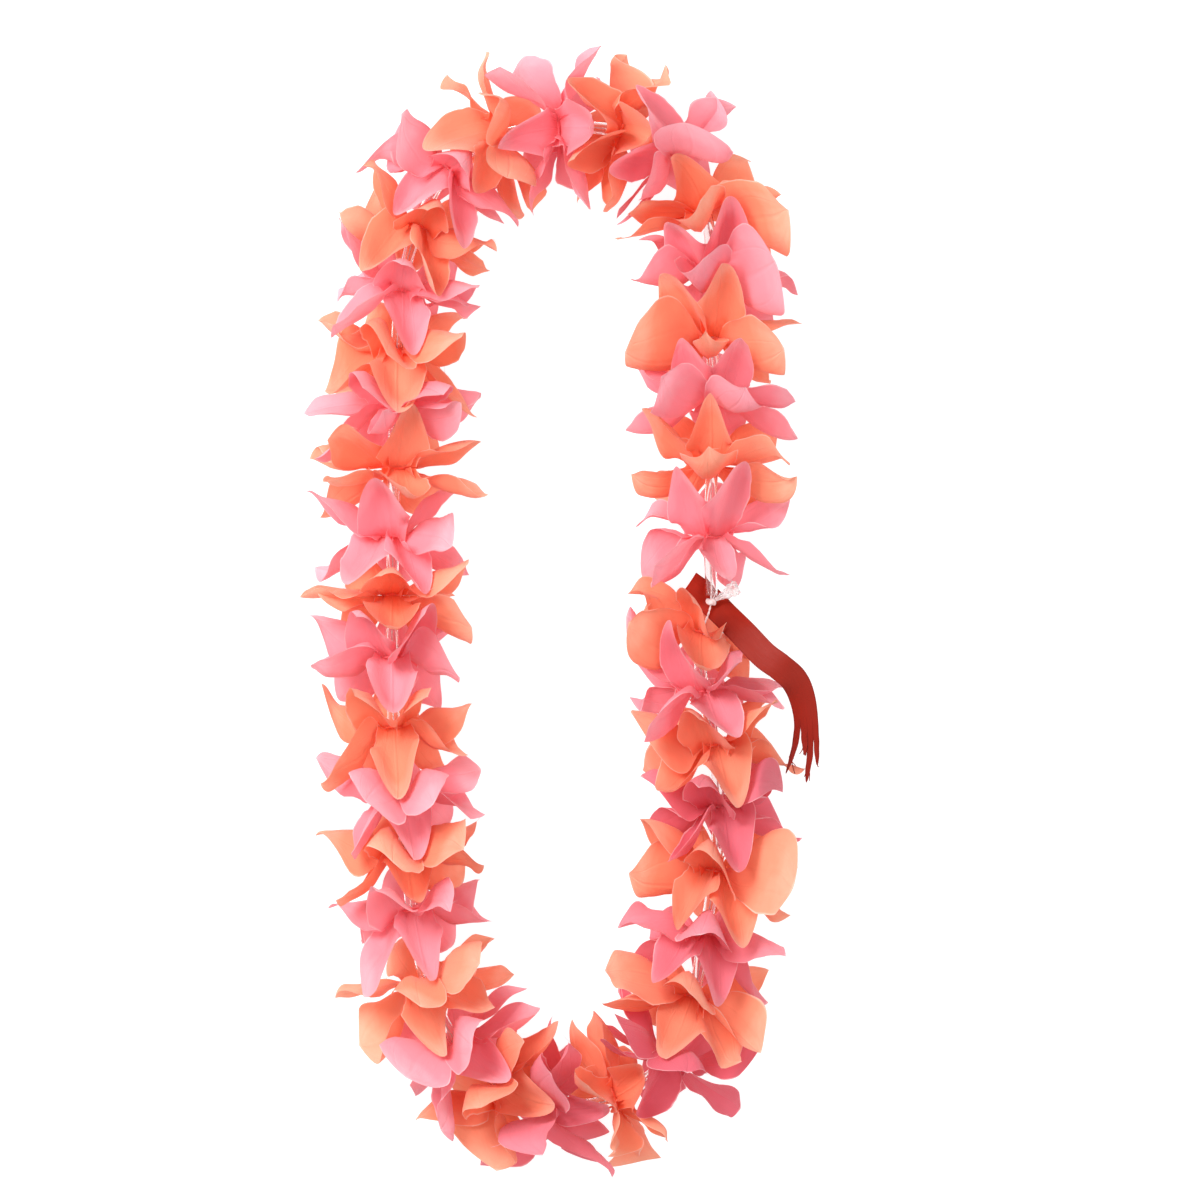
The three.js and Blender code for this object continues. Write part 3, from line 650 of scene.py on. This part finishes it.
def ribbon_material():
    """Red satin, brighter at the end that is tied, with fine yarns along it and a selvage."""
    n = Nodes("red_satin")
    along, across = n.attribute("along"), n.attribute("across")
    wide = n.math("ABSOLUTE", across)
    on_cloth = n.vector(n.times(across, RIBBON_ACROSS), n.times(along, RIBBON_ALONG), 0.0)
    weft = n.add("TexWave", wave_type="BANDS", bands_direction="Y", Scale=0.9, Distortion=1.2, Detail=2.0)
    n.set(weft.inputs["Vector"], on_cloth)
    yarns = n.noise(n.vector(n.times(across, 22.0), n.times(along, 26.0), 3.0), 0.6, 4.0, 0.65)
    cloudy = n.noise(on_cloth, 0.11, 3.0, 0.5)
    colour = n.ramp(
        n.math("ADD", along, n.swing(cloudy, 0.25)),
        (0.0, srgb(200, 46, 14)), (0.22, srgb(148, 34, 16)), (0.6, srgb(144, 34, 20)),
        (1.0, srgb(150, 36, 24)),
    )
    colour = n.mix(n.times(yarns, 0.35), colour, srgb(112, 20, 12))
    selvage = n.range(wide, 0.9, 0.97)
    colour = n.mix(n.times(selvage, 0.4), colour, srgb(104, 18, 12))
    shader = n.add("BsdfPrincipled", Sheen_Weight=0.06, Sheen_Roughness=0.35, IOR=1.45, Anisotropic=0.35)
    n.set(shader.inputs["Specular IOR Level"], 0.2)
    n.set(shader.inputs["Base Color"], colour)
    n.set(shader.inputs["Roughness"], n.range(yarns, 0.25, 0.75, 0.42, 0.6))
    raised = n.math("ADD", yarns, n.times(selvage, 0.5))
    n.bumped(shader, n.math("ADD", n.times(weft.outputs["Fac"], 0.12), raised), 0.35, 0.0004)
    return n.surface(shader)


# Each cloth's colours: root in painted shade, middle, tip in painted light, pale rim that is partly a
# painted highlight, the colour seen through, and the deeper colour.
PINK_CLOTH = cloth(
    "pink_cloth", srgb(255, 132, 142), srgb(255, 160, 174), srgb(255, 194, 206), srgb(255, 220, 226),
    srgb(255, 118, 124), srgb(222, 94, 114),
)
ORANGE_CLOTH = cloth(
    "orange_cloth", srgb(255, 122, 80), srgb(255, 156, 122), srgb(255, 194, 166), srgb(255, 218, 198),
    srgb(255, 116, 62), srgb(240, 112, 86),
)
TUBE_PLASTIC = clear_plastic("clear_tube", 0.05, srgb(250, 246, 246), 900.0)
FILM_PLASTIC = clear_plastic("clear_film", 0.08, srgb(250, 248, 248), 1500.0, (0.35, 0.9))
THREAD = thread_material()
RED_SATIN = ribbon_material()

# ------------------------------------------------------------------------------------------------
# Blooms
# ------------------------------------------------------------------------------------------------

ROWS, COLS = 26, 15
# Petals may lean this much further to the side than their solids do.
ROOM_MORE = 1.32
ROOM_POWER = 4
ROOT_CLOSE = 0.45
LAP = 0.8
LEAST_SHARE = -0.5
OUTLINE_FULL = (2.2, 3.1)
OUTLINE_POINT = (0.55, 1.1)
# How thin a petal's outline gets before what bends its edges fades out.
THIN_OUTLINE = 0.6
SWELL_POWER = 0.7
# Petals are cupped round, or folded along the midrib with this power of the way across.
FOLD = (0.1, 1.0)
FOLD_POWER = 1.15
PINCH = (-0.5, 1.0)
PINCH_FROM, PINCH_TO = 0.55, 0.98
PINCH_DEPTH = 4.5
PINCH_NARROWS = 0.42
# The cut edge is a little ragged: share of the width, waves along the petal and share of its phase.
NICKS = ((0.02, 23, 1), (0.012, 41, 2))
BEND = 0.035
BEND_POWER = 2.2
# The outer part of a petal's width rolls and waves.
EDGE_FROM, EDGE_SPAN = 0.4, 0.6
EDGE_GROWS = (0.12, 0.6)
ROLL_SPREAD, ROLL_MEAN = 1.6, 0.6
WAVE = (0.6, 1.9)
WAVES = (2.2, 4.0)
WAVE_SHIFT = 1.7
RIB_DEPTH, RIB_WIDTH = 0.45, 0.11
RIB_GROWS, RIB_FADES = (0.02, 0.2), (0.8, 1)
TIP_SPREAD = 3.0
TIP_FROM = 0.72
LAP_GROWS = 0.3
# Some of the petals that point sideways lie loose in the middle of their space.
LOOSE_SHARE = 0.45
LOOSE_SWING = 0.35
# Rings of the throat: radius and height over the hub's middle.
THROAT_TURNS = 40
THROAT_RINGS = (
    (0.9, 0.5), (1.5, 1.0), (3.0, 1.0), (4.4, 0.85), (HUB_RADIUS + 0.6, 0.6), (7.0, 0.3), (8.2, -0.2),
)
THROAT_WAVE = 0.10
# Some petals have a frayed yarn at their edge.
FRAYED_SHARE = 0.16
YARN_LENGTH = (3.0, 7.5)
YARN_SWAY = 0.5
YARN_BOW = 0.6
YARN_LOWEST = 0.2
YARN_RADII = (0.1, 0.05)
YARN_STEPS = 9
YARN_SIDES = 4
FINE_SEED, FOLD_SEED = 5000, 8000


def petal_grid(i, side, petal, more):
    """One petal's surface, with finer forms than its solid: rolled and waved edges, a pinched tip."""
    radii, lean = ridge_of(i, side, petal)
    t = np.sin(np.linspace(0, 1, ROWS) * math.pi / 2)[:, None]
    v = np.sin(np.linspace(-1, 1, COLS) * math.pi / 2)[None, :]
    t, v = np.broadcast_arrays(t, v)
    ahead = np.interp(t * RIDGE_STEPS, np.arange(RIDGE_STEPS + 1), radii)
    outline = outline_at(t, more["full"], more["point"])
    # The tip: its sides close up, and what bends the edges fades out.
    pinch = more["pinch"] * smoothstep(t, PINCH_FROM, PINCH_TO)
    edge_v = v * np.minimum(outline / THIN_OUTLINE, 1)
    swell = np.sin(math.pi * np.clip(t, 0, 1)) ** SWELL_POWER
    fold = lerp(v * v, np.abs(v) ** FOLD_POWER, more["fold"])
    hollow = petal["cup"] * fold * swell + PINCH_DEPTH * pinch * np.abs(edge_v)
    nicks = sum(size * np.sin(count * t + phase * more["nick"]) for size, count, phase in NICKS)
    ragged = 1 + nicks * np.abs(v)
    x = ahead - hollow * math.sin(lean)
    y = v * petal["half_width"] * outline * ragged * (1 - PINCH_NARROWS * pinch)
    y = y + more["bend"] * t ** BEND_POWER * petal["length"]
    r = np.hypot(x, y)
    turn = np.arctan2(y, x)
    room = np.where(turn > 0, petal["room_after"], petal["room_before"]) * ROOM_MORE
    held = (1 + (np.abs(turn) / room) ** ROOM_POWER) ** (1 / ROOM_POWER)
    azimuth = petal["azimuth"] + turn / held
    _, half = space_at(i, r, azimuth)
    near_edge = np.clip((np.abs(edge_v) - EDGE_FROM) / EDGE_SPAN, 0, 1) ** 2
    grow = smoothstep(t, *EDGE_GROWS)
    roll = np.where(v > 0, more["roll_a"], more["roll_b"]) * near_edge * grow
    ripple = np.sin(more["waves"] * math.pi * t + more["phase"] + WAVE_SHIFT * np.sign(v))
    wave = more["wave"] * near_edge * grow * ripple
    rib = -RIB_DEPTH * np.exp(-(v / RIB_WIDTH) ** 2) * smoothstep(t, *RIB_GROWS)
    rib = rib * (1 - smoothstep(t, *RIB_FADES))
    tip = more["tip"] * smoothstep(t, TIP_FROM, 1.0) ** 2
    lap = LAP * edge_v * smoothstep(t, 0.0, LAP_GROWS)
    raised = hollow * math.cos(lean) + roll + wave + rib + tip + lap
    share = share_at(petal, t, edge_v) * more["swing"] + raised / half
    height = loose_height_at(i, side, r, azimuth, t, share)
    return point_at(height, r, azimuth), t, v


def loose_height_at(i, side, r, azimuth, t, share):
    """As height_at, but a petal may also lean over the middle a little, between the others."""
    middle, half = space_at(i, r, azimuth)
    filled = np.where(share > 0, soft_limit(share), share)
    filled = np.clip(filled, LEAST_SHARE, BORDER_SHARE)
    return middle + side * (ROOT_CLOSE * (1 - t) ** 2 + half * filled)


def throat_grid(i, side, whorl):
    """The joined middle of a whorl, from the thread's hole to the petals' roots."""
    azimuth = np.linspace(0, math.tau, THROAT_TURNS, endpoint=False)[None, :]
    radius, height = (np.array(column)[:, None] for column in zip(*THROAT_RINGS))
    lobes = np.sin(PETALS * (azimuth - whorl[0]["azimuth"]) + math.pi / 2)
    waved = 1 + THROAT_WAVE * lobes * (radius / HUB_RADIUS)
    r, azimuth = np.broadcast_arrays(radius * waved, azimuth)
    s = hubs[i] + side * np.broadcast_to(height, r.shape)
    return point_at(s, r, azimuth)


def loose_thread(rng, start, direction):
    """A frayed yarn that stands off a petal's edge."""
    length = rng.uniform(*YARN_LENGTH)
    steps = np.linspace(0, 1, YARN_STEPS)[:, None]
    sway = rng.normal(size=3) * YARN_SWAY
    path = start + direction * length * steps + sway * length * steps ** 2 * YARN_BOW
    path[:, 2] = np.maximum(path[:, 2], YARN_LOWEST)
    return tube_grid(path, np.linspace(*YARN_RADII, YARN_STEPS), YARN_SIDES)


def unit(vector):
    return vector / (np.linalg.norm(vector) + 1e-9)


def finer_forms(rng, folds, petal):
    """What a petal's cloth has beyond its solid, drawn for each."""
    aside = abs(math.cos(petal["azimuth"]))
    loose = rng.uniform() < LOOSE_SHARE * aside ** 2
    return {
        "nick": rng.uniform(0, math.tau), "bend": rng.normal() * BEND,
        "roll_a": rng.normal() * ROLL_SPREAD + ROLL_MEAN, "roll_b": rng.normal() * ROLL_SPREAD + ROLL_MEAN,
        "wave": rng.uniform(*WAVE), "waves": rng.uniform(*WAVES),
        "phase": rng.uniform(0, math.tau), "tip": rng.normal() * TIP_SPREAD,
        "full": rng.uniform(*OUTLINE_FULL), "point": rng.uniform(*OUTLINE_POINT),
        "pinch": max(rng.uniform(*PINCH), 0.0),
        "swing": rng.uniform(-LOOSE_SWING, LOOSE_SWING) if loose else 1.0, "fold": folds.uniform(*FOLD),
    }


def make_bloom(i):
    _, forward, _, pick, deep = BLOOMS[i]
    draw = seeded(SEED_START + SEED_ROW * i + SEED_PICK * pick)
    spacing = math.radians(LAST_SPACING) if i == len(BLOOMS) - 1 else math.tau / PETALS
    front = draw_whorl(draw, math.radians(forward), spacing)
    behind = BLOOMS[i - 1] if i > 0 else KNOT_SIDE
    back = draw_whorl(draw, math.radians(behind[1]) + math.pi / PETALS)
    rng, folds = np.random.default_rng(FINE_SEED + i), np.random.default_rng(FOLD_SEED + i)
    sheet = Sheet()
    for side, whorl in ((1, front), (-1, back)):
        for petal in whorl:
            petal["twist"] *= 1 + SIDE_TWIST * abs(math.cos(petal["azimuth"])) ** 2
            points, t, v = petal_grid(i, side, petal, finer_forms(rng, folds, petal))
            tone = rng.uniform()
            sheet.grid(points, flip=side < 0, along=t, across=v, tone=tone, deep=deep)
            if rng.uniform() < FRAYED_SHARE:
                row, col = int(rng.integers(8, ROWS - 4)), int(rng.choice([0, COLS - 1]))
                inner = points[row, 2 if col == 0 else COLS - 3]
                yarn = loose_thread(rng, points[row, col], unit(points[row, col] - inner))
                # A frayed yarn takes the pale rim colour of a tip, partly a painted highlight.
                sheet.grid(yarn, closed=True, along=1.0, across=0.97, tone=tone, deep=deep)
        throat = throat_grid(i, side, whorl)
        # The throat takes the colour of the petals' roots, in painted shade.
        sheet.grid(throat, closed=True, flip=side < 0, along=0.02, across=0.4, tone=0.5, deep=deep)
    pink = i % 2 == 0
    node = f"bloom_{i + 1:02d}_{'pink' if pink else 'orange'}"
    bloom = sheet.object(f"cloth_{node}", PINK_CLOTH if pink else ORANGE_CLOTH)
    return attach(bloom, node)


blooms = [make_bloom(i) for i in range(len(BLOOMS))]

# ------------------------------------------------------------------------------------------------
# Thread, spacer tubes and knot
# ------------------------------------------------------------------------------------------------


TUBE_BORE = 2.5
TUBE_MOUTH = 1.2
TUBE_ROUNDING, TUBE_BEVEL = 0.25, 0.07
TUBE_RINGS, TUBE_SIDES = 8, 24
# Two yarns, each this thick, twisted round each other.
YARN_RADIUS, TWIST_RADIUS, TWIST_PITCH = 0.3, 0.27, 5.0
THREAD_STEP = 0.8
THREAD_SIDES = 6
KNOT_SIZE, KNOT_CORD, KNOT_BALL = 0.78, 0.68, 1.9
KNOT_FLATNESS = 1.3
KNOT_STEPS, KNOT_SIDES = 90, 8
BALL_ROWS, BALL_COLS = 10, 20
# The knot's cut ends: their ways outwards, where they start and how long they are.
CUT_ENDS = ((0.75, 0.55, 0.25), (0.5, 0.8, 0.4))
CUT_START, CUT_LENGTH, CUT_SWAY, CUT_STEPS = 1.5, 5.0, 0.6, 10
KNOT_SEED = 31


def on_string(s, aside=0.0, up=0.0):
    """Points beside and above the string at arc lengths."""
    at, _, out = string_frame(s)
    xy = at + out * np.asarray(aside)[..., None]
    z = np.broadcast_to(STRING_HEIGHT + np.asarray(up), xy.shape[:-1])
    return np.concatenate([xy, z[..., None]], axis=-1)


def make_tube(k, start, end):
    """A clear tube with softly rounded ends."""
    sheet = Sheet()
    middle = np.linspace(start + TUBE_ROUNDING, end - TUBE_ROUNDING, TUBE_RINGS)
    ring_s = np.concatenate([
        [start + TUBE_MOUTH, start, start, start + TUBE_BEVEL], middle,
        [end - TUBE_BEVEL, end, end, end - TUBE_MOUTH],
    ])
    edge = [TUBE_RADIUS - TUBE_ROUNDING, TUBE_RADIUS - TUBE_BEVEL]
    mouth = [TUBE_BORE, TUBE_BORE]
    ring_r = np.concatenate([mouth, edge, np.full(TUBE_RINGS, TUBE_RADIUS), edge[::-1], mouth])
    turns = np.linspace(0, math.tau, TUBE_SIDES, endpoint=False)
    grid = on_string(
        ring_s[:, None] + 0 * turns[None], ring_r[:, None] * np.cos(turns), ring_r[:, None] * np.sin(turns)
    )
    sheet.grid(grid, closed=True)
    attach(sheet.object(f"spacer_tube_{k:02d}", TUBE_PLASTIC), "strand")


def make_thread():
    """Two yarns twisted together, all round the loop."""
    sheet = Sheet()
    s = np.arange(KNOT_RADIUS * 0.5, STRING_LENGTH - KNOT_RADIUS * 0.5, THREAD_STEP)
    for phase in (0, math.pi):
        angle = math.tau * s / TWIST_PITCH + phase
        path = on_string(s, TWIST_RADIUS * np.cos(angle), TWIST_RADIUS * np.sin(angle))
        sheet.grid(tube_grid(path, YARN_RADIUS, THREAD_SIDES), closed=True)
    attach(sheet.object("thread", THREAD), "strand")


def make_knot():
    """The tied end: a small ball of wound thread with two cut ends."""
    sheet = Sheet()
    turn = np.linspace(0, math.tau, KNOT_STEPS)
    wound = (np.sin(turn) + 2 * np.sin(2 * turn), np.cos(turn) - 2 * np.cos(2 * turn))
    path = np.stack([*wound, -np.sin(3 * turn) * KNOT_FLATNESS], axis=1)
    at, along, out = string_frame(0.0)
    basis = np.array([[*out, 0], [0, 0, 1], [*along, 0]])
    centre = np.array([*at, STRING_HEIGHT])
    sheet.grid(tube_grid(centre + (path * KNOT_SIZE) @ basis, KNOT_CORD, KNOT_SIDES), closed=True)
    lat = np.linspace(-math.pi / 2, math.pi / 2, BALL_ROWS)[:, None]
    lon = np.linspace(0, math.tau, BALL_COLS, endpoint=False)[None, :]
    sphere = (np.cos(lat) * np.cos(lon), np.cos(lat) * np.sin(lon), np.sin(lat))
    ball = np.stack(np.broadcast_arrays(*sphere), axis=-1)
    sheet.grid(centre + ball * KNOT_BALL, closed=True)
    rng = np.random.default_rng(KNOT_SEED)
    for way in CUT_ENDS:
        steps = np.linspace(0, 1, CUT_STEPS)[:, None]
        sway = rng.normal(size=3) * CUT_SWAY * steps ** 2
        end = centre + np.array(way) * (CUT_START + CUT_LENGTH * steps) + sway
        sheet.grid(tube_grid(end, YARN_RADIUS, THREAD_SIDES), closed=True)
    attach(sheet.object("knot", THREAD), "strand")


rest = HUB_THICKNESS / 2 + SEAT
starts = [KNOT_RADIUS, *(hubs[:-1] + rest)]
for k, (start, hub) in enumerate(zip(starts, hubs)):
    make_tube(k + 1, start, hub - rest)
make_thread()
make_knot()

# ------------------------------------------------------------------------------------------------
# The crumpled film and the ribbon
# ------------------------------------------------------------------------------------------------

# Points of the film's middle line with its half width there.
FILM_ROUTE = np.array([
    [80.6, 8.4, 32.4, 0.8], [84, 10.2, 34, 1.7], [87.2, 11.8, 33.2, 2.8], [90.2, 14, 35, 3.7],
    [92.8, 15.2, 34.4, 3.4],
])
FILM_ROWS, FILM_COLS = 28, 14
FILM_THICKNESS = 0.25
CRUMPLE_LARGE, CRUMPLE_FINE, CRUMPLE_HEIGHT = 0.9, 0.5, 0.8
CRUMPLE_AT_KNOT = 0.35
RAGGED_FILM = 0.12
SPLINE_SAMPLES = 2001


def spline(points, u):
    """A smooth curve through points with ends, for u from 0 to 1, evenly in the points' own steps."""
    points = np.asarray(points, float)
    padded = np.concatenate([[2 * points[0] - points[1]], points, [2 * points[-1] - points[-2]]])
    place = np.clip(u, 0, 1) * (len(points) - 1)
    low = np.minimum(np.floor(place).astype(int), len(points) - 2)
    w = (place - low)[..., None]
    p0, p1, p2, p3 = (padded[low + k] for k in range(4))
    d1, d2 = 0.5 * (p2 - p0), 0.5 * (p3 - p1)
    return p1 + d1 * w + (-3 * p1 + 3 * p2 - 2 * d1 - d2) * w ** 2 + (2 * p1 - 2 * p2 + d1 + d2) * w ** 3


def even_spline(points, u):
    """As spline, but evenly along its length, which is returned too."""
    fine = np.linspace(0, 1, SPLINE_SAMPLES)
    path = spline(points, fine)
    lengths = np.concatenate([[0], np.cumsum(np.linalg.norm(np.diff(path[:, :3], axis=0), axis=1))])
    return spline(points, np.interp(np.asarray(u) * lengths[-1], lengths, fine)), lengths[-1]


def thicken(piece, thickness):
    thick = piece.modifiers.new("thick", "SOLIDIFY")
    thick.thickness = thickness * MM
    thick.offset = 0


def make_film():
    """A crumpled scrap that widens outwards from the knot."""
    sheet = Sheet()
    u = np.linspace(0, 1, FILM_ROWS)
    route = spline(FILM_ROUTE, u)
    along = np.gradient(route[:, :3], axis=0)
    across = np.cross(along, (0, 0, 1))
    across /= np.linalg.norm(across, axis=1, keepdims=True)
    v = np.linspace(-1, 1, FILM_COLS)
    large = CRUMPLE_LARGE * np.sin(5.2 * v[None] * math.pi / 2 + 6 * u[:, None])
    fold = large + CRUMPLE_FINE * np.sin(17 * u[:, None] + 3 * v[None])
    fold *= CRUMPLE_AT_KNOT + (1 - CRUMPLE_AT_KNOT) * u[:, None]
    wide = route[:, 3][:, None] * (1 + RAGGED_FILM * np.sin(31 * u)[:, None])
    points = route[:, None, :3] + across[:, None] * (wide * v[None])[..., None]
    points[..., 2] += fold * CRUMPLE_HEIGHT
    sheet.grid(points)
    film = sheet.object("knot_end_film", FILM_PLASTIC)
    thicken(film, FILM_THICKNESS)
    attach(film, "knot_film")


# The torn end of the ribbon. The tails part from TAILS_FROM of its length on. Each has its two edges
# there and its point across the ribbon, as shares of the half width, how far along it ends, and how
# late it narrows.
TAILS_FROM = 0.76
TAILS = [
    ((0.42, 1.0), 1.2, 1.0, 2.0), ((-0.1, 0.42), -0.05, 0.92, 4.0), ((-0.58, -0.1), -0.36, 1.03, 5.0),
    ((-1.0, -0.58), -1.0, 0.95, 5.0),
]
TAIL_COLUMNS = 13
TAIL_NARROWING = 0.75
TAIL_BEND = 2.4
TAIL_FILL = 0.7
TORN_EDGE = 0.1
TAILS_PART, TAIL_EDGE_CURL = 1.6, 0.4
BODY_ROWS, TAIL_ROWS = 96, 40
RIBBON_THICKNESS = 0.3
# The ribbon's curl: in its middle, and down at its edges.
MIDDLE_CURL, EDGE_CURL = 0.5, 0.35
WAY_STEP = 0.004
WELD_GAP = 0.002
LOOSE_YARNS = 2
RIBBON_YARN_WAY = 0.45
RIBBON_SEED = 77


def ribbon_points(u, v):
    """Points on the ribbon at shares u of its length and v across it."""
    route, length = even_spline(RIBBON_ROUTE, u)
    ahead, _ = even_spline(RIBBON_ROUTE, np.minimum(u + WAY_STEP, 1.0))
    before, _ = even_spline(RIBBON_ROUTE, np.minimum(u, 1.0) - WAY_STEP)
    along = (ahead - before)[..., :3]
    along /= np.linalg.norm(along, axis=-1, keepdims=True)
    level = np.stack([along[..., 1], -along[..., 0], 0 * along[..., 0]], axis=-1)
    level /= np.linalg.norm(level, axis=-1, keepdims=True)
    roll = np.radians(route[..., 3])[..., None]
    across = level * np.cos(roll) + np.cross(along, level) * np.sin(roll)
    normal = np.cross(across, along)
    curl = MIDDLE_CURL * np.cos(v * math.pi / 2) * np.sin(9 * u + 1) - EDGE_CURL * np.abs(v) ** 3
    past = np.maximum(u - 1, 0)[..., None] * length
    points = route[..., :3] + along * past + across * (v * RIBBON_WIDTH / 2)[..., None]
    return points + normal * curl[..., None], normal, length


def weld(piece):
    """Joins the grids of a piece where they meet."""
    joined = bmesh.new()
    joined.from_mesh(piece.data)
    bmesh.ops.remove_doubles(joined, verts=joined.verts, dist=WELD_GAP * MM)
    joined.to_mesh(piece.data)
    joined.free()


def make_ribbon():
    """The ribbon's body and its torn tails, joined into one sheet."""
    sheet = Sheet()
    columns = np.concatenate([np.linspace(*edges, TAIL_COLUMNS) for edges, *_ in TAILS])
    columns = np.unique(np.round(columns, 6))
    u, v = np.meshgrid(np.linspace(0, TAILS_FROM, BODY_ROWS), columns, indexing="ij")
    points, _, length = ribbon_points(u, v)
    sheet.grid(points, along=u, across=v)
    flat_area = TAILS_FROM * RIBBON_WIDTH * length
    rng = np.random.default_rng(RIBBON_SEED)
    for k, ((left, right), point, tip, late) in enumerate(TAILS):
        q, w = np.meshgrid(np.linspace(0, 1, TAIL_ROWS), np.linspace(-1, 1, TAIL_COLUMNS), indexing="ij")
        u = lerp(TAILS_FROM, tip, q)
        middle, half = (left + right) / 2, (right - left) / 2
        torn = 1 + TORN_EDGE * np.sin(19 * q + 2 * k + w) * q
        v = lerp(middle, point, q ** TAIL_BEND) + w * half * (1 - q ** late) ** TAIL_NARROWING * torn
        points, normal, _ = ribbon_points(u, v)
        # The tails part from each other, and their edges curl.
        part = TAILS_PART * q ** 2 * math.sin(2.4 * k + 0.5) + TAIL_EDGE_CURL * q * w * w
        points = points + normal * part[..., None]
        sheet.grid(points, along=u, across=v)
        flat_area += (tip - TAILS_FROM) * length * (right - left) / 2 * RIBBON_WIDTH * TAIL_FILL
        for _ in range(LOOSE_YARNS):
            row = int(rng.integers(28, 39))
            side = int(rng.choice([0, TAIL_COLUMNS - 1]))
            outwards = points[row, side] - points[row, TAIL_COLUMNS // 2]
            way = points[row, side] - points[row - 3, side] + 0.4 * outwards
            yarn = loose_thread(rng, points[row, side], unit(way) * RIBBON_YARN_WAY)
            sheet.grid(yarn, closed=True, along=1.0, across=0.5)
    ribbon = sheet.object("red_ribbon", RED_SATIN)
    weld(ribbon)
    thicken(ribbon, RIBBON_THICKNESS)
    attach(ribbon, "ribbon")


make_film()
make_ribbon()

# ------------------------------------------------------------------------------------------------
# Floor, light and camera
# ------------------------------------------------------------------------------------------------

FLOOR_HALF = 4
FLOOR_GLOW = 0.92
SKY_STRENGTH = 0.55
# Lights: place in metres, size and power.
LIGHTS = {"key": ((-0.9, 0.75, 1.35), 0.9, 38.0), "fill": ((1.0, -0.4, 1.5), 1.2, 9.0)}
# The picture's scale, its side, and where the route's origin lies in it.
PIXEL = 450 / 864 * MM
PICTURE_SIDE = 1200
ORIGIN_ACROSS, ORIGIN_DOWN = 560, 616
CAMERA_HEIGHT = 1.5

scene = bpy.context.scene
corners = [(x * FLOOR_HALF, y * FLOOR_HALF, 0) for x, y in ((-1, -1), (1, -1), (1, 1), (-1, 1))]
floor_mesh = bpy.data.meshes.new("floor")
floor_mesh.from_pydata(corners, [], [(0, 1, 2, 3)])
floor = bpy.data.objects.new("floor", floor_mesh)
scene.collection.objects.link(floor)
n = Nodes("pale_floor")
paper = n.noise(n.add("TexCoord").outputs["Object"], 60.0, 4.0, 0.6)
surface = n.add("BsdfPrincipled", Roughness=0.9)
n.set(surface.inputs["Base Color"], n.mix(paper, srgb(140, 140, 140), srgb(150, 150, 150)))
n.set(surface.inputs["Emission Color"], (1, 1, 1, 1))
n.set(surface.inputs["Emission Strength"], FLOOR_GLOW)
floor_mesh.materials.append(n.surface(surface))

world = bpy.data.worlds.new("studio")
world.use_nodes = True
world.node_tree.nodes["Background"].inputs["Color"].default_value = (1, 1, 1, 1)
world.node_tree.nodes["Background"].inputs["Strength"].default_value = SKY_STRENGTH
scene.world = world

for name, (location, size, power) in LIGHTS.items():
    light = bpy.data.lights.new(name, "AREA")
    light.size = size
    light.energy = power
    lamp = bpy.data.objects.new(name, light)
    lamp.location = location
    lamp.rotation_euler = Vector(location).to_track_quat("Z", "Y").to_euler()
    scene.collection.objects.link(lamp)

camera_data = bpy.data.cameras.new("camera")
camera_data.type = "ORTHO"
camera_data.ortho_scale = PICTURE_SIDE * PIXEL
camera = bpy.data.objects.new("camera", camera_data)
camera.location = (
    (PICTURE_SIDE / 2 - ORIGIN_ACROSS) * PIXEL + SHIFT[0] * MM,
    (ORIGIN_DOWN - PICTURE_SIDE / 2) * PIXEL + SHIFT[1] * MM,
    CAMERA_HEIGHT,
)
scene.collection.objects.link(camera)
scene.camera = camera
scene.view_settings.view_transform = "Standard"

bpy.context.view_layer.update()
